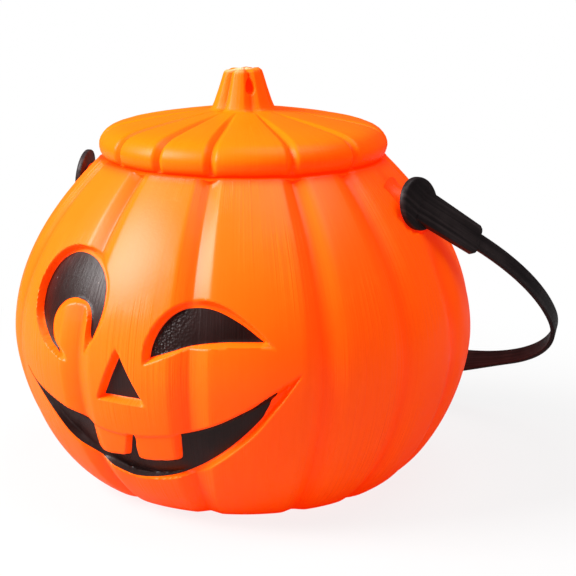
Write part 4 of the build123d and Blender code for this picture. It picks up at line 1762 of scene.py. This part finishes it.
@dataclass
class Studio:
    """White studio: floor, surroundings, lamps and the photograph's camera."""

    floor_half: float = 2500.0
    floor_drop: float = 0.05
    ambient: float = 0.07
    lamp_target: Triple = (0.0, 0.0, 80.0)
    lamps: tuple[Softbox, ...] = (
        Softbox("key_softbox", -46.0, 36.0, 1.1, 0.56, 19.5),
        Softbox("top_softbox", 100.0, 72.0, 1.2, 0.8, 6.0),
    )
    target: Triple = (0.0, 0.0, 64.08)
    distance: float = 658.44
    azimuth: float = 27.5
    elevation: float = 15.0
    focal_pixels: float = 1562.63
    target_pixel: Pair = (243.22, 321.07)
    sensor: float = 36.0

    def floor(self) -> None:
        """Pale floor just under the base."""
        half, low = self.floor_half, -self.floor_drop
        corners = np.array([(-half, -half, low), (half, -half, low), (half, half, low), (-half, half, low)])
        made = mesh_object("studio_floor", corners, [(0, 1, 2, 3)])
        made.data.materials.append(StudioFloor().make())

    def world(self) -> None:
        """White surroundings with a plain level of light."""
        world = bpy.data.worlds.new("studio_white")
        world.use_nodes = True
        world.node_tree.nodes.clear()
        bench = Bench(world.node_tree)
        path = bench.node("ShaderNodeLightPath", output="Is Camera Ray")
        seen = (path + path.side("Is Transmission Ray")).most(1.0)
        light = bench.node("ShaderNodeBackground", inputs={"Color": WHITE, "Strength": self.ambient})
        shown = bench.node("ShaderNodeBackground", inputs={"Color": WHITE, "Strength": 1.0})
        mixed = bench.node("ShaderNodeMixShader", inputs={0: seen, 1: light, 2: shown})
        bench.node("ShaderNodeOutputWorld", inputs={"Surface": mixed})
        bpy.context.scene.world = world

    @staticmethod
    def aim(
        name: str, data: bpy.types.ID, target: Triple, azimuth: float, elevation: float, distance: float
    ) -> bpy.types.Object:
        """Place a lamp or a camera so that it looks at a point.

        Args:
            name: Name of the object.
            data: The lamp or the camera.
            target: Point that it looks at, in millimetres.
            azimuth: Bearing from the front of the face, in degrees.
            elevation: Height over the horizon, in degrees.
            distance: Distance from the point, in metres.

        Returns:
            The object.
        """
        made = bpy.data.objects.new(name, data)
        turn, rise = math.radians(azimuth), math.radians(elevation)
        away = Vector((math.sin(turn) * math.cos(rise), -math.cos(turn) * math.cos(rise), math.sin(rise)))
        made.location = Vector(target) * MM + away * distance
        made.rotation_mode = "QUATERNION"
        made.rotation_quaternion = (-away).to_track_quat("-Z", "Y")
        bpy.context.scene.collection.objects.link(made)
        return made

    def light(self) -> None:
        """Lamps round the pail."""
        for box in self.lamps:
            data = bpy.data.lights.new(box.name, "AREA")
            data.size, data.energy = box.size, box.watts
            self.aim(box.name, data, self.lamp_target, box.azimuth, box.elevation, box.distance)

    def camera(self) -> None:
        """Camera at the photograph's angle and framing."""
        data = bpy.data.cameras.new("photo_camera")
        data.sensor_width = self.sensor
        data.lens = self.focal_pixels * self.sensor / PHOTO_PIXELS
        data.shift_x = (PHOTO_PIXELS / 2 - self.target_pixel[0]) / PHOTO_PIXELS
        data.shift_y = (self.target_pixel[1] - PHOTO_PIXELS / 2) / PHOTO_PIXELS
        bpy.context.scene.camera = self.aim(
            "photo_camera", data, self.target, self.azimuth, self.elevation, self.distance * MM
        )

    def build(self) -> None:
        """Set the stage."""
        bpy.context.scene.view_settings.view_transform = "Standard"
        self.floor()
        self.world()
        self.light()
        self.camera()


def write_sizes() -> None:
    """Bring the view layer up to date."""
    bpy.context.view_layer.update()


def main() -> None:
    """Build the studio and every piece in order."""
    logging.basicConfig(level=logging.INFO, format="%(name)s: %(message)s")
    Studio().build()
    pail_grooves = GrooveTree()
    lid_grooves = GrooveTree(valley_round=0.15, shoulder_share=0.13)
    tree = pail_grooves.make()
    pail_plastic = MouldedPlastic("orange_pail_plastic")
    lid_plastic = MouldedPlastic(
        "orange_lid_plastic", main=(1.0, 0.2, 0.001, 1.0), warm=(1.0, 0.23, 0.002, 1.0), specular=0.16, line_show=0.2
    )
    pail = Pail(pail_plastic.make(), tree, pail_grooves).build()
    skin = BVHTree.FromObject(pail, bpy.context.evaluated_depsgraph_get())
    FacePaint(SprayedPaint().make(), skin).build()
    Lid(lid_plastic.make(), tree, lid_grooves).build()
    Handle(StrapPlastic().make()).build()
    write_sizes()


if __name__ == "__main__":
    main()
